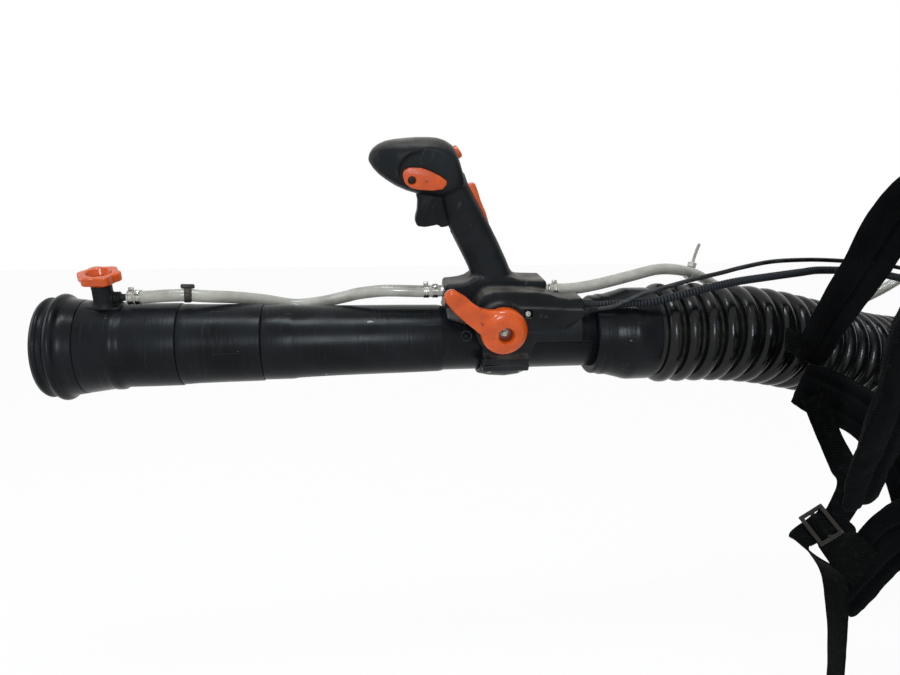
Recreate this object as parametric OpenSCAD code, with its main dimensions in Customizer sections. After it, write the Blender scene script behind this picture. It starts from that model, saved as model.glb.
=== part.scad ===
// Backpack blower with a liquid tank: a two-stroke fan unit on a carrying frame, and a blow tube
// with a pistol grip, joined by a pleated hose. The tube runs forward along -X at the right side
// (+Y) of the wearer. The floor is z = 0, below the middle of the base.

/* [Blow tube] */
// Height of the tube's axis above the floor
tube_z = 400; // [395:1:405]
// Distance of the tube's axis from the machine's middle plane
tube_y = 170; // [168:1:172]
// Outer radius of the main tube under the handle
tube_r = 33.5; // [33:0.1:34]
// Wall of the tube sections
tube_wall = 2.5; // [2:0.5:3]
// Front end of the nozzle rim
nozzle_x = -1082; // [-1084:1:-1080]
// Front end of the extension tube
extension_x = -957; // [-958:1:-956]
// Front end of the main tube's collar
collar_x = -879; // [-880:1:-878]
// Front end of the hose cuff
cuff_x = -541; // [-542:1:-540]

/* [Handle] */
// Lean of the handle towards the wearer's side
handle_roll = 10; // [10:1:10]
// Lean of the metering valve
valve_roll = 16; // [16:1:16]
// Width of the pistol grip
grip_w = 34; // [33:1:35]
// Width of the handle's head
head_w = 46; // [45:1:47]
// Radius of the valve lever's disc
lever_r = 23.5; // [22:0.5:24]
// Across the lobes of the metering knob
knob_d = 39; // [38:1:42]

/* [Hose] */
// Outer radius of the hose's ribs
rib_r = 54; // [53:0.5:54]
// Outer radius between the ribs
valley_r = 44; // [43.5:0.5:45]
// Number of ribs
rib_count = 20; // [18:1:21]
// Diameter of the liquid hose
liquid_d = 11; // [10:0.5:11]
// Diameter of the throttle cable
cable_d = 4.6; // [4:0.2:5]
// Diameter of the cable conduit
conduit_d = 8.6; // [8:0.2:9]

/* [Fan] */
// Height of the fan and crank axis
fan_z = 215; // [213:1:217]
// Outer radius of the fan wheel
fan_r = 112; // [108:1:113]
// Number of fan blades
blade_count = 18; // [12:1:20]
// Radius of the volute where it starts
volute_r = 122; // [121:1:123]
// Distance of the outlet duct's axis from the fan axis
duct_offset = 127.5; // [127:0.5:128]
// Outer radius of the outlet duct and the elbow
duct_r = 45; // [44.5:0.5:45]
// Radius of the elbow's bend
elbow_bend = 70; // [70:1:72]

/* [Engine] */
// Radius of the cylinder's bore
bore_r = 24; // [23:0.5:24]
// Number of cooling fins
fin_count = 11; // [8:1:12]

/* [Frame and tanks] */
// Height of the back plate
plate_h = 625; // [620:1:630]
// Width of the back plate
plate_w = 300; // [296:1:304]
// Width of the liquid tank
tank_w = 320; // [310:2:322]
// Height of the liquid tank
tank_h = 244; // [236:2:246]
// Width of the fuel tank
fuel_w = 250; // [240:2:252]

/* [Hidden] */
$fn = 64;

// Clearances: between pieces of one body, between bodies, and round a turning pin
slip = 0.1;
gap = 0.3;
run = 0.05;

// Colours
black = [0.06, 0.06, 0.065];
dark_grey = [0.16, 0.16, 0.17];
orange = [0.93, 0.33, 0.08];
steel = [0.75, 0.76, 0.78];
cast = [0.6, 0.6, 0.62];
clear_white = [0.85, 0.86, 0.8, 0.6];

// Fan unit
fan_x0 = -20;
fan_x1 = 80;
split_x = 30;
shell = 4;
duct_turn = 60;
duct_n = [0, cos(duct_turn), sin(duct_turn)];
duct_m = [0, sin(duct_turn), -cos(duct_turn)];
duct_len = 157;
box_len = 98;
duct_end = [split_x, 0, fan_z] + duct_m * duct_offset + duct_n * duct_len;
bend_centre = duct_end - [elbow_bend, 0, 0];
mouth = bend_centre + duct_n * elbow_bend;
volute_end = duct_offset + duct_r;

// Engine
crank_x0 = fan_x1;
crank_x1 = 160;
cyl_x = 120;
cyl_z0 = 262;
ear_y = 67;

// Frame
plate_x = -120;
plate_z = 15;
shelf_z = 438;
tank_z = 446;
tank_x0 = -90;
tank_x1 = 115;
fuel_x0 = 84;
fuel_x1 = 205;
fuel_z0 = 34;
fuel_z1 = 120;

// Handle: points in its own leaning plane, x along the tube and z above its axis
saddle_x0 = -697;
saddle_x1 = -594;
clamp_turn = 20;
clamp_x0 = -662;
clamp_x1 = -614;
clamp_screws = [-654, -622];
trigger_pivot = [-706, 167];
lockout_pivot = [-655, 112];
setting_pivot = [-733, 164.7];
lever_pivot = [-643, 21.5];
button_at = [-689, 188];
button_tilt = 55;
metering_x = -1024;

// Placing helpers: outlines drawn in the YZ or the XZ plane, and turned pieces along the tube
module yz(x, length) {
    translate([x, 0, 0]) rotate([90, 0, 90]) linear_extrude(length) children();
}
module xz(y, length) {
    translate([0, y + length, 0]) rotate([90, 0, 0]) linear_extrude(length) children();
}
module on_tube(roll = 0) {
    translate([0, tube_y, tube_z]) rotate([roll, 0, 0]) children();
}
module turned() {
    on_tube() rotate([0, 90, 0]) rotate_extrude() children();
}
module rod_x(r, x0, x1) {
    translate([x0, 0, 0]) rotate([0, 90, 0]) cylinder(r = r, h = x1 - x0);
}
module rod_y(r, y0, y1) {
    translate([0, y0, 0]) rotate([-90, 0, 0]) cylinder(r = r, h = y1 - y0);
}
module on_fan_axis() {
    translate([0, 0, fan_z]) children();
}

// A rectangle with round corners, centred
module round_rect(w, h, r) {
    square([w - 2 * r, h], center = true);
    square([w, h - 2 * r], center = true);
    for (x = [-1, 1], y = [-1, 1])
        translate([x * (w / 2 - r), y * (h / 2 - r)]) circle(r);
}

// Curves: a smooth line through hand-set points, with a number of steps for each span
function spline(p, i, t) =
    let (n = len(p), a = p[max(i - 1, 0)], b = p[i], c = p[i + 1], d = p[min(i + 2, n - 1)])
    0.5 * (2 * b + (c - a) * t + (2 * a - 5 * b + 4 * c - d) * t * t
        + (3 * b - a - 3 * c + d) * t * t * t);
function smooth(p, steps) = [
    for (i = [0:len(p) - 2], s = [0:steps - 1]) spline(p, i, s / steps),
    p[len(p) - 1]
];
function unit(v) = v / norm(v);
function heading(p, i) = unit(p[min(i + 1, len(p) - 1)] - p[max(i - 1, 0)]);

// A skin over rings of points: closed at both ends, or joined last ring to first
module skin(rings, looped = false) {
    n = len(rings[0]);
    m = len(rings);
    points = [for (r = rings) each r];
    last = looped ? m - 1 : m - 2;
    sides = [
        for (i = [0:last], j = [0:n - 1])
            let (a = i * n + j, b = i * n + (j + 1) % n)
            let (c = ((i + 1) % m) * n + (j + 1) % n, d = ((i + 1) % m) * n + j)
            each [[a, b, c], [a, c, d]]
    ];
    front = [for (j = [n - 1:-1:0]) j];
    back = [for (j = [0:n - 1]) (m - 1) * n + j];
    polyhedron(points, looped ? sides : concat([front], sides, [back]));
}

// One ring of a round piece about a heading, and one of a band with a given width direction
function ring_at(c, dir, r, n) =
    let (u = unit(cross(dir, [0, 0, 1])), v = cross(u, dir))
    [for (j = [0:n - 1]) let (a = 360 * j / n) c + r * (cos(a) * u + sin(a) * v)];
function band_ring(c, dir, wide, w, t, n) =
    let (side = unit(wide - dir * (wide * dir)), up = cross(side, dir))
    [
        for (j = [0:n - 1])
            let (a = 360 * j / n, x = cos(a), y = sin(a))
            c + side * (w / 2) * sign(x) * pow(abs(x), 0.7) + up * (t / 2) * sign(y) * pow(abs(y), 0.7)
    ];

// A round cord along a route
module cord(route, d, sides) {
    skin([for (i = [0:len(route) - 1]) ring_at(route[i], heading(route, i), d / 2, sides)]);
}

// A soft band: each row is a place, its width direction, its width and its thickness
module band(rows, steps = 3, sides = 14) {
    at = smooth([for (r = rows) r[0]], steps);
    wide = smooth([for (r = rows) r[1]], steps);
    size = smooth([for (r = rows) [r[2], r[3]]], steps);
    skin([
        for (i = [0:len(at) - 1])
            band_ring(at[i], heading(at, i), wide[i], size[i][0], size[i][1], sides)
    ]);
}

// ---------------------------------------------------------------- carrying frame

module plate_outline(inset) {
    translate([0, plate_z + plate_h / 2])
        round_rect(plate_w - 2 * inset, plate_h - 2 * inset, 42 - inset);
}

module back_plate() {
    rim = 7;
    rib = 4;
    color(black) difference() {
        union() {
            yz(plate_x, rib) plate_outline(0);
            yz(plate_x, 16) difference() {
                plate_outline(0);
                plate_outline(rim);
            }
            for (y = [-75, 75])
                yz(plate_x, 16) translate([y - rib / 2, plate_z + 5]) square([rib, 540]);
            for (z = [150, 300, 450])
                yz(plate_x, 16) translate([-plate_w / 2 + 5, z - rib / 2]) square([plate_w - 10, rib]);
            for (y = [-75, 75]) translate([0, y, 300]) rod_x(14, plate_x, fan_x0 - 20);
        }
        // Carrying handle, strap slots and belt slots
        yz(plate_x - 1, 30) translate([0, 608]) round_rect(110, 26, 12.9);
        for (y = [-80, 80], z = [565, 120])
            yz(plate_x - 1, 30) translate([y, z]) round_rect(62, 10, 4.9);
    }
}

// A cushion: a crowned pad, drawn in at its middle and edges, with two channels across
module cushion(w, h, thick) {
    nu = 12;
    nv = 24;
    function crown(s) = 1 - pow(abs(s), 5);
    function channel(v) = min([for (c = [-0.36, 0.36]) 1 - 0.45 * exp(-pow((v - c) / 0.05, 2))]);
    function pinch(v) = 1 - 0.06 * (1 - v * v);
    front = [
        for (j = [0:nv], i = [0:nu])
            let (u = 2 * i / nu - 1, v = 2 * j / nv - 1, k = crown(u) * crown(v))
            [-3 - (thick - 3) * k * channel(v), u * w / 2 * pinch(v), v * h / 2]
    ];
    back = [for (p = front) [0, p[1], p[2]]];
    n = (nu + 1) * (nv + 1);
    faces = [
        for (j = [0:nv - 1], i = [0:nu - 1])
            let (a = j * (nu + 1) + i, b = a + 1, c = a + nu + 2, d = a + nu + 1)
            each [[a, b, c], [a, c, d], [n + b, n + a, n + c], [n + c, n + a, n + d]]
    ];
    rim = concat(
        [for (i = [0:nu]) i],
        [for (j = [1:nv]) j * (nu + 1) + nu],
        [for (i = [nu - 1:-1:0]) nv * (nu + 1) + i],
        [for (j = [nv - 1:-1:1]) j * (nu + 1)]
    );
    k = len(rim);
    walls = [
        for (i = [0:k - 1])
            let (a = rim[i], b = rim[(i + 1) % k])
            each [[a, n + a, n + b], [a, n + b, b]]
    ];
    polyhedron(concat(front, back), concat(faces, walls));
}

module back_pad() {
    color(dark_grey) translate([plate_x, 0, 320]) cushion(190, 330, 20);
}

module base_frame() {
    skid_w = 26;
    deck = 10;
    color(black) difference() {
        union() {
            translate([plate_x + 16 + slip, -140, 14]) cube([fuel_x1 - plate_x - 12, 280, deck]);
            for (y = [-140, 140 - skid_w])
                translate([plate_x + 16 + slip, y, 0]) cube([fuel_x1 - plate_x - 12, skid_w, 14]);
            for (x = [-12, 170]) translate([x, -140, 0]) cube([24, 280, 14]);
            for (y = [-100, 100]) translate([fuel_x0 + 6, y - 8, 20]) cube([110, 16, 14]);
        }
        // Lightening holes through the deck
        for (x = [-60, 58, 130], y = [-45, 45]) translate([x, y, -1]) cylinder(r = 24, h = 40);
        // Bolt holes for a floor bracket or a stand
        for (x = [-80, 190], y = [-127, 127]) translate([x, y, -1]) cylinder(r = 3.3, h = 40);
    }
}

module av_mounts() {
    color(black) {
        for (x = [0, 60], y = [-80, 80]) translate([x, y, 24]) {
            cylinder(r = 13, h = 4);
            cylinder(r = 10, h = 16);
            translate([0, 0, 12]) cylinder(r = 13, h = 4);
        }
        for (y = [-75, 75]) translate([0, y, 300]) {
            rod_x(13, fan_x0 - 20, fan_x0 - 16);
            rod_x(10, fan_x0 - 20, fan_x0);
            rod_x(13, fan_x0 - 4, fan_x0);
        }
    }
}

module tank_shelf() {
    color(black) difference() {
        union() {
            translate([plate_x + 16 + slip, -130, shelf_z]) cube([tank_x1 - plate_x - 20, 260, 8]);
            for (y = [-100, 100 - 6])
                translate([plate_x + 16 + slip, y, shelf_z - 10]) cube([160, 6, 10]);
            yz(plate_x + 16 + slip, 6) translate([-130, shelf_z]) square([260, 40]);
        }
        for (x = [-30, 60], y = [-60, 60]) translate([x, y, shelf_z - 1]) cylinder(r = 26, h = 12);
    }
}

// ---------------------------------------------------------------- fan unit

// The volute: a spiral that grows by one full turn into the tangent duct
function spiral(inset) = [
    for (a = [0:6:360])
        let (r = volute_r + (volute_end - volute_r) * a / 360 - inset, b = duct_turn - 90 + a)
        [r * cos(b), r * sin(b)]
];
module volute_2d(inset) {
    translate([0, fan_z]) {
        polygon(spiral(inset));
        rotate(duct_turn - 90) translate([duct_offset - duct_r + inset, -1])
            square([2 * (duct_r - inset), box_len + 1 - inset]);
    }
}
module duct_pipe(r, from, to) {
    translate(duct_end) rotate([duct_turn, 0, 0]) rod_y(r, from - duct_len, to - duct_len);
}
module half_space(front) {
    translate([front ? split_x - 400 : split_x, -400, -100]) cube([400, 800, 800]);
}
module fan_shell() {
    neck_r = duct_r - 0.5;
    difference() {
        union() {
            yz(fan_x0, fan_x1 - fan_x0) volute_2d(0);
            duct_pipe(neck_r, box_len - 5, duct_len);
            duct_pipe(duct_r + 7, duct_len - 4, duct_len);
            yz(split_x - 4, 8) translate([0, fan_z]) difference() {
                polygon(spiral(-8));
                polygon(spiral(2));
            }
            for (x = [0, 60], y = [-80, 80]) translate([x - 12, y - 14, 40]) cube([24, 28, 44]);
        }
        yz(fan_x0 + shell, fan_x1 - fan_x0 - 2 * shell) volute_2d(shell);
        duct_pipe(neck_r - shell, box_len - 20, duct_len + 1);
    }
}

module fan_housing_front() {
    intake_r = 64;
    color(black) {
        difference() {
            intersection() {
                fan_shell();
                half_space(true);
            }
            on_fan_axis() rod_x(intake_r, fan_x0 - 1, fan_x0 + shell + 1);
        }
        // Intake grille: three rings on eight spokes
        on_fan_axis() for (r = [16, 32, 48]) translate([fan_x0, 0, 0]) rotate([0, 90, 0])
            rotate_extrude() translate([r, 0]) square([3, shell]);
        on_fan_axis() for (a = [0:45:315]) rotate([a, 0, 0])
            translate([fan_x0, 16, -1.5]) cube([shell, intake_r - 15, 3]);
    }
}

module fan_housing_rear() {
    color(black) difference() {
        intersection() {
            fan_shell();
            half_space(false);
        }
        on_fan_axis() rod_x(20, fan_x1 - shell - 1, fan_x1 + 1);
    }
}

module fan_wheel() {
    hub_r = 18;
    color(dark_grey) on_fan_axis() {
        difference() {
            union() {
                rod_x(fan_r, 66, 69);
                rod_x(hub_r, 38, 72);
                for (i = [0:blade_count - 1]) rotate([i * 360 / blade_count, 0, 0])
                    translate([4, 70, 0]) rotate([35, 0, 0]) translate([0, 0, -1.5])
                        cube([62.5, 36, 3]);
            }
            rod_x(8, 37, 73);
        }
        difference() {
            rod_x(fan_r - 2, 1.5, 4.5);
            rod_x(72, 1, 5);
        }
    }
}

module crankshaft() {
    web_r = 30;
    throw_r = 16;
    color(steel) on_fan_axis() difference() {
        union() {
            rod_x(8 - slip, 30, 78);
            rod_x(8.5 - run, 78, 106);
            rod_x(web_r, 102, 112);
            translate([0, 0, throw_r]) rod_x(9, 111, 129);
            rod_x(web_r, 128, 138);
            rod_x(8.5 - run, 134, 162);
            rod_x(8 - slip, 162, 182);
        }
        // Counterweight flats at the pin's side
        for (x = [101, 129.5]) translate([x, -40, 26]) cube([12, 80, 20]);
    }
    color(steel) on_fan_axis() difference() {
        rod_x(15, 30, 37.5);
        rod_x(8, 29, 38);
    }
}

module crank_bearings() {
    color(steel) on_fan_axis() for (x = [84, 146]) difference() {
        rod_x(17.5, x, x + 10);
        rod_x(8.5, x - 1, x + 11);
    }
}

module crankcase() {
    out_r = 45;
    in_r = 34;
    color(cast) difference() {
        union() {
            on_fan_axis() rod_x(out_r, crank_x0, crank_x1);
            translate([cyl_x - 36, -36, fan_z]) cube([72, 72, cyl_z0 - fan_z]);
            for (y = [-52, 40]) translate([crank_x0, y, fan_z - 6]) cube([80, 12, 12]);
            // Arms for the fan housing's screws and for the starter cover's
            on_fan_axis() for (a = [45:90:315]) rotate([a, 0, 0]) {
                translate([0, 48, 0]) rod_x(7, crank_x0, crank_x0 + 10);
                translate([crank_x1 - 10, 38, -6]) cube([10, ear_y - 38, 12]);
                translate([0, ear_y, 0]) rod_x(6, crank_x1 - 10, crank_x1);
            }
        }
        on_fan_axis() {
            rod_x(in_r, 98, 142);
            rod_x(17.5 + slip, 84, 99);
            rod_x(17.5 + slip, 141, 156);
            rod_x(12, crank_x0 - 1, crank_x1 + 1);
        }
        translate([cyl_x, 0, fan_z]) cylinder(r = bore_r, h = 60);
        on_fan_axis() for (a = [45:90:315]) rotate([a, 0, 0]) translate([0, ear_y, 0])
            rod_x(2.5, crank_x1 - 11, crank_x1 + 1);
    }
}

module cylinder_block() {
    fin_pitch = 8;
    color(cast) translate([cyl_x, 0, cyl_z0]) difference() {
        union() {
            cylinder(r = bore_r + 6, h = 100);
            linear_extrude(6) round_rect(72, 72, 8);
            for (i = [0:fin_count - 1]) translate([0, 0, 10 + i * fin_pitch])
                linear_extrude(2.5) round_rect(70, 84, 14);
            // Ports for the exhaust and the intake
            translate([0, 0, 36]) rod_y(11, 20, 46);
            translate([0, 0, 28]) rod_y(11, -46, -20);
        }
        translate([0, 0, -1]) cylinder(r = bore_r, h = 86);
        translate([0, 0, 36]) rod_y(8, 10, 50);
        translate([0, 0, 28]) rod_y(8, -50, -10);
        translate([0, 0, 80]) cylinder(r = 5, h = 40);
    }
}

module piston() {
    color(steel) translate([cyl_x, 0, 0]) difference() {
        translate([0, 0, 308]) cylinder(r = bore_r - slip, h = 32);
        translate([0, 0, 307]) cylinder(r = 19, h = 26);
        translate([0, 0, 318]) rod_y(5, -30, 30);
    }
    color(steel) translate([cyl_x, 0, 318]) difference() {
        rod_y(5, -22, 22);
        rod_y(2.5, -23, 23);
    }
}

module spark_plug() {
    color(steel) translate([cyl_x, 0, 343]) {
        cylinder(r = 5 - slip, h = 19);
        translate([0, 0, 19]) cylinder(r = 9, h = 8, $fn = 6);
    }
    color(black) translate([cyl_x, 0, 370]) difference() {
        cylinder(r = 8, h = 26);
        translate([0, 0, -1]) cylinder(r = 3, h = 4);
    }
}

module muffler() {
    color(steel) difference() {
        translate([84, 46.2, 270]) cube([76, 48, 76]);
        translate([86, 48.2, 272]) cube([72, 44, 72]);
        translate([cyl_x, 0, 298]) rod_y(8, 40, 52);
        translate([cyl_x + 20, 0, 330]) rod_y(6, 90, 96);
    }
    // Outlet pipe
    color(steel) translate([cyl_x + 20, 0, 330]) difference() {
        rod_y(8, 94.2, 106);
        rod_y(6, 94, 107);
    }
}

module carburetor() {
    color(cast) difference() {
        union() {
            translate([cyl_x - 20, -82, 268]) cube([40, 35.8, 44]);
            translate([cyl_x, 0, 290]) rod_y(18, -92, -80);
        }
        translate([cyl_x, 0, 290]) rod_y(9, -100, -40);
    }
}

module air_filter_cover() {
    filter_mid = [121, 307];
    color(black) difference() {
        xz(-150, 57.8) translate([filter_mid[0], filter_mid[1]]) round_rect(78, 86, 16);
        xz(-147, 55) translate([filter_mid[0], filter_mid[1]]) round_rect(72, 80, 13);
    }
    // Intake louvres
    color(black) for (z = [-30:14:30])
        translate([filter_mid[0] - 26, -153, filter_mid[1] + z]) cube([52, 3, 5]);
}

module choke_lever() {
    color(orange) translate([140, -64, 290]) {
        rod_x(4, gap, 6);
        translate([5, -4, -4]) cube([3, 8, 26]);
    }
}

module engine_cover() {
    wall = 2.5;
    cover_z0 = 356;
    cover_z1 = 426;
    color(orange) difference() {
        translate([124, 0, cover_z0]) linear_extrude(cover_z1 - cover_z0) round_rect(80, 130, 16);
        translate([124, 0, cover_z0 - 1]) linear_extrude(cover_z1 - cover_z0 + 1 - wall)
            round_rect(80 - 2 * wall, 130 - 2 * wall, 14);
        for (y = [-45:15:45]) translate([100, y - 3, 404]) cube([90, 6, 12]);
        // Cable entries
        translate([0, 50, 412]) rod_x(5.6, 80, 90);
        translate([0, 36, 412]) rod_x(3.6, 80, 90);
    }
    // Posts that stand on the cylinder head
    color(orange) for (y = [-22, 22]) translate([cyl_x, y, cyl_z0 + 100 + slip])
        cylinder(r = 4, h = cover_z1 - cyl_z0 - 101);
}

module starter_housing() {
    out_r = 62;
    color(black) on_fan_axis() {
        difference() {
            union() {
                rod_x(out_r, crank_x1 + slip, 214);
                // Bolt ears
                for (a = [45:90:315]) rotate([a, 0, 0]) translate([0, ear_y, 0])
                    rod_x(6, crank_x1 + slip, 190);
            }
            difference() {
                rod_x(out_r - 3, crank_x1 - 1, 211);
                for (a = [45:90:315]) rotate([a, 0, 0]) translate([0, ear_y, 0])
                    rod_x(6, crank_x1 + slip, 190);
            }
            for (a = [45:90:315]) rotate([a, 0, 0]) translate([0, ear_y, 0])
                rod_x(2.5, crank_x1 - 1, 191);
            // Cooling slots in the rear wall and the rope's eye
            for (a = [0:30:330]) rotate([a, 0, 0]) translate([210, 26, -3]) cube([6, 26, 6]);
            translate([193, 0, 36]) rod_y(4, -80, -40);
        }
        rod_x(6, 184.5, 212);
    }
}

module flywheel() {
    color(cast) on_fan_axis() {
        difference() {
            rod_x(46, 164, 174);
            rod_x(8, 163, 175);
        }
        for (i = [0:11]) rotate([i * 30, 0, 0]) translate([174, 22, -1.5]) cube([6, 24, 3]);
    }
}

module starter_reel() {
    color(dark_grey) on_fan_axis() difference() {
        union() {
            rod_x(40, 185, 188);
            rod_x(33, 187, 199);
            rod_x(40, 198, 201);
        }
        rod_x(6 + run, 184, 202);
    }
}

module starter_rope() {
    color(cast) translate([193, 0, fan_z + 36]) {
        rod_y(1.75, -63, 0);
        translate([0, 0, -36]) rotate([0, 90, 0]) difference() {
            translate([0, 0, -4]) cylinder(r = 37.5, h = 8);
            translate([0, 0, -5]) cylinder(r = 33.5, h = 10);
        }
    }
}

module starter_grip() {
    color(black) translate([193, 0, fan_z + 36]) {
        rod_y(6, -84, -63);
        translate([0, -88, 0]) rod_x(9, -28, 28);
        for (x = [-28, 28]) translate([x, -88, 0]) sphere(9);
    }
}

module elbow() {
    wall = 4;
    spigot = 26;
    color(black) translate(bend_centre) rotate([duct_turn, 0, 0]) difference() {
        union() {
            rotate_extrude(angle = 90) translate([elbow_bend, 0]) circle(duct_r);
            translate([elbow_bend, 0, 0]) rod_y(duct_r + 7, slip, 5);
            translate([0, elbow_bend, 0]) rod_x(duct_r - 2.5, -spigot, 0);
            translate([0, elbow_bend, 0]) rod_x(duct_r + 3, -3, 6);
        }
        rotate_extrude(angle = 90) translate([elbow_bend, 0]) circle(duct_r - wall);
        translate([0, elbow_bend, 0]) rod_x(duct_r - wall, -spigot - 1, 0);
    }
}

module housing_screws() {
    color(steel) {
        // Screws round the fan housing's split
        on_fan_axis() for (a = [30:60:270]) rotate([a, 0, 0]) {
            r = volute_r + 4.5 + (volute_end - volute_r) * (a + 90 - duct_turn) / 360;
            translate([0, r, 0]) rod_x(3, split_x + 4, split_x + 8);
        }
        // Starter cover screws
        on_fan_axis() for (a = [45:90:315]) rotate([a, 0, 0]) translate([0, ear_y, 0]) {
            rod_x(2.4, crank_x1 - 9, 190);
            rod_x(4.5, 190, 194);
        }
        // Cylinder base nuts
        for (x = [-30, 30], y = [-30, 30]) translate([cyl_x + x, y, cyl_z0 + 6]) cylinder(r = 3, h = 4);
    }
}

// ---------------------------------------------------------------- tanks

module fuel_tank() {
    wall = 3;
    h = fuel_z1 - fuel_z0;
    l = fuel_x1 - fuel_x0;
    color(clear_white) difference() {
        union() {
            translate([(fuel_x0 + fuel_x1) / 2, 0, fuel_z0]) linear_extrude(h) round_rect(l, fuel_w, 22);
            translate([170, -88, fuel_z1 - 1]) cylinder(r = 20, h = 13);
        }
        translate([(fuel_x0 + fuel_x1) / 2, 0, fuel_z0 + wall]) linear_extrude(h - 2 * wall)
            round_rect(l - 2 * wall, fuel_w - 2 * wall, 19);
        translate([170, -88, fuel_z1 - wall - 1]) cylinder(r = 16, h = 20);
    }
}

// A screw cap with a gripped edge, open below
module cap(r, h, hole_r, grips) {
    difference() {
        union() {
            cylinder(r = r, h = h);
            for (i = [0:grips - 1]) rotate(i * 360 / grips) translate([r, 0, 0]) cylinder(r = 2.2, h = h - 2);
        }
        translate([0, 0, -1]) cylinder(r = hole_r, h = h - 2);
    }
}

module fuel_cap() {
    color(black) translate([170, -88, fuel_z1 + gap]) cap(25, 18, 20 + gap, 12);
}

module tank_body(inset) {
    l = tank_x1 - tank_x0;
    mid = [(tank_x0 + tank_x1) / 2, 0, tank_z + tank_h / 2];
    intersection() {
        translate([mid[0], 0, tank_z + inset]) linear_extrude(tank_h - 2 * inset)
            round_rect(l - 2 * inset, tank_w - 2 * inset, 45 - inset);
        yz(tank_x0, l) translate([0, mid[2]])
            round_rect(tank_w - 2 * inset, tank_h - 2 * inset, 36 - inset);
    }
}

module liquid_tank() {
    neck_x = 12;
    wall = 3;
    color(clear_white) difference() {
        union() {
            tank_body(0);
            translate([neck_x, 0, tank_z + tank_h - 2]) cylinder(r = 46, h = 20);
            // Outlet nipple for the liquid hose, low on the right side
            translate([-40, 0, tank_z + 62]) rod_y(9, tank_w / 2 - 4, tank_w / 2 + 6);
            translate([-40, 0, tank_z + 62]) rod_y(4, tank_w / 2, tank_w / 2 + 9.5);
        }
        tank_body(wall);
        translate([neck_x, 0, tank_z + tank_h - wall - 1]) cylinder(r = 42, h = 30);
        translate([-40, 0, tank_z + 62]) rod_y(2.5, tank_w / 2 - 10, tank_w / 2 + 30);
    }
}

module tank_cap() {
    color(black) translate([12, 0, tank_z + tank_h + gap]) cap(52, 24, 46 + gap, 24);
}

// ---------------------------------------------------------------- harness

// Widths lie along Y at the back plate, and turn upright where the strap hangs out
module shoulder_pad_right() {
    rows = [
        [[-126, 80, 560], [0, 1, 0], 60, 9],
        [[-165, 80, 588], [0, 1, 0], 64, 13],
        [[-210, 80, 583], [0.5, 0.8, -0.3], 68, 15],
        [[-245, 78, 546], [0.8, 0.3, -0.6], 70, 15],
        [[-273, 76, 514], [0.88, 0.1, -0.47], 66, 15],
        [[-299, 75, 469], [0.9, 0, -0.43], 56, 14],
        [[-325, 74, 430], [0.86, 0, -0.5], 48, 13],
        [[-342, 74, 398], [0.86, 0, -0.5], 42, 11],
        [[-350, 74, 384], [0.86, 0, -0.5], 34, 7]
    ];
    color(black) band(rows);
}

module shoulder_pad_left() {
    rows = [
        [[-126, -80, 560], [0, 1, 0], 60, 9],
        [[-180, -80, 598], [0, 1, 0], 64, 13],
        [[-270, -80, 592], [0, 1, 0], 68, 15],
        [[-345, -80, 535], [0.3, 0.9, 0], 68, 15],
        [[-378, -79, 465], [0.6, 0.6, 0], 62, 15],
        [[-377, -74, 400], [0.85, 0.3, 0.1], 56, 14],
        [[-374, -60, 352], [0.9, 0.1, 0.2], 52, 14],
        [[-367, -40, 312], [0.9, 0, 0.3], 46, 13],
        [[-358, -24, 278], [0.9, 0, 0.3], 38, 10]
    ];
    color(black) band(rows);
}

// Two padded wings: the right one is propped under the shoulder pad, the left one droops
module hip_belt() {
    right_wing = [
        [[-122, 60, 120], [0, 0, 1], 50, 6],
        [[-138, 60, 120], [0, 0, 1], 50, 7],
        [[-156, 59, 121], [0, 0, 1], 52, 8],
        [[-205, 57, 190], [0.7, 0, 0.7], 54, 11],
        [[-248, 56, 285], [0.6, 0, 0.8], 54, 11],
        [[-291, 56, 330], [0.55, 0, 0.83], 52, 11],
        [[-340, 56, 360], [0.5, 0, 0.86], 46, 10],
        [[-366, 56, 374], [0.5, 0, 0.86], 36, 8]
    ];
    left_wing = [
        [[-122, -40, 118], [0, 0, 1], 54, 6],
        [[-138, -39, 118], [0, 0, 1], 55, 7],
        [[-156, -37, 119], [-0.1, 0, 1], 56, 8],
        [[-205, -20, 178], [-0.3, 0, 0.95], 64, 11],
        [[-258, 0, 226], [-0.45, 0.1, 0.88], 66, 12],
        [[-289, 10, 222], [-0.65, 0.15, 0.72], 60, 12],
        [[-309, 15, 195], [-0.79, 0.2, 0.57], 52, 11],
        [[-326, 17, 167], [-0.8, 0.2, 0.5], 44, 10],
        [[-335, 17, 152], [-0.8, 0.2, 0.5], 32, 9]
    ];
    color(black) {
        band(right_wing);
        band(left_wing);
    }
}

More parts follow.
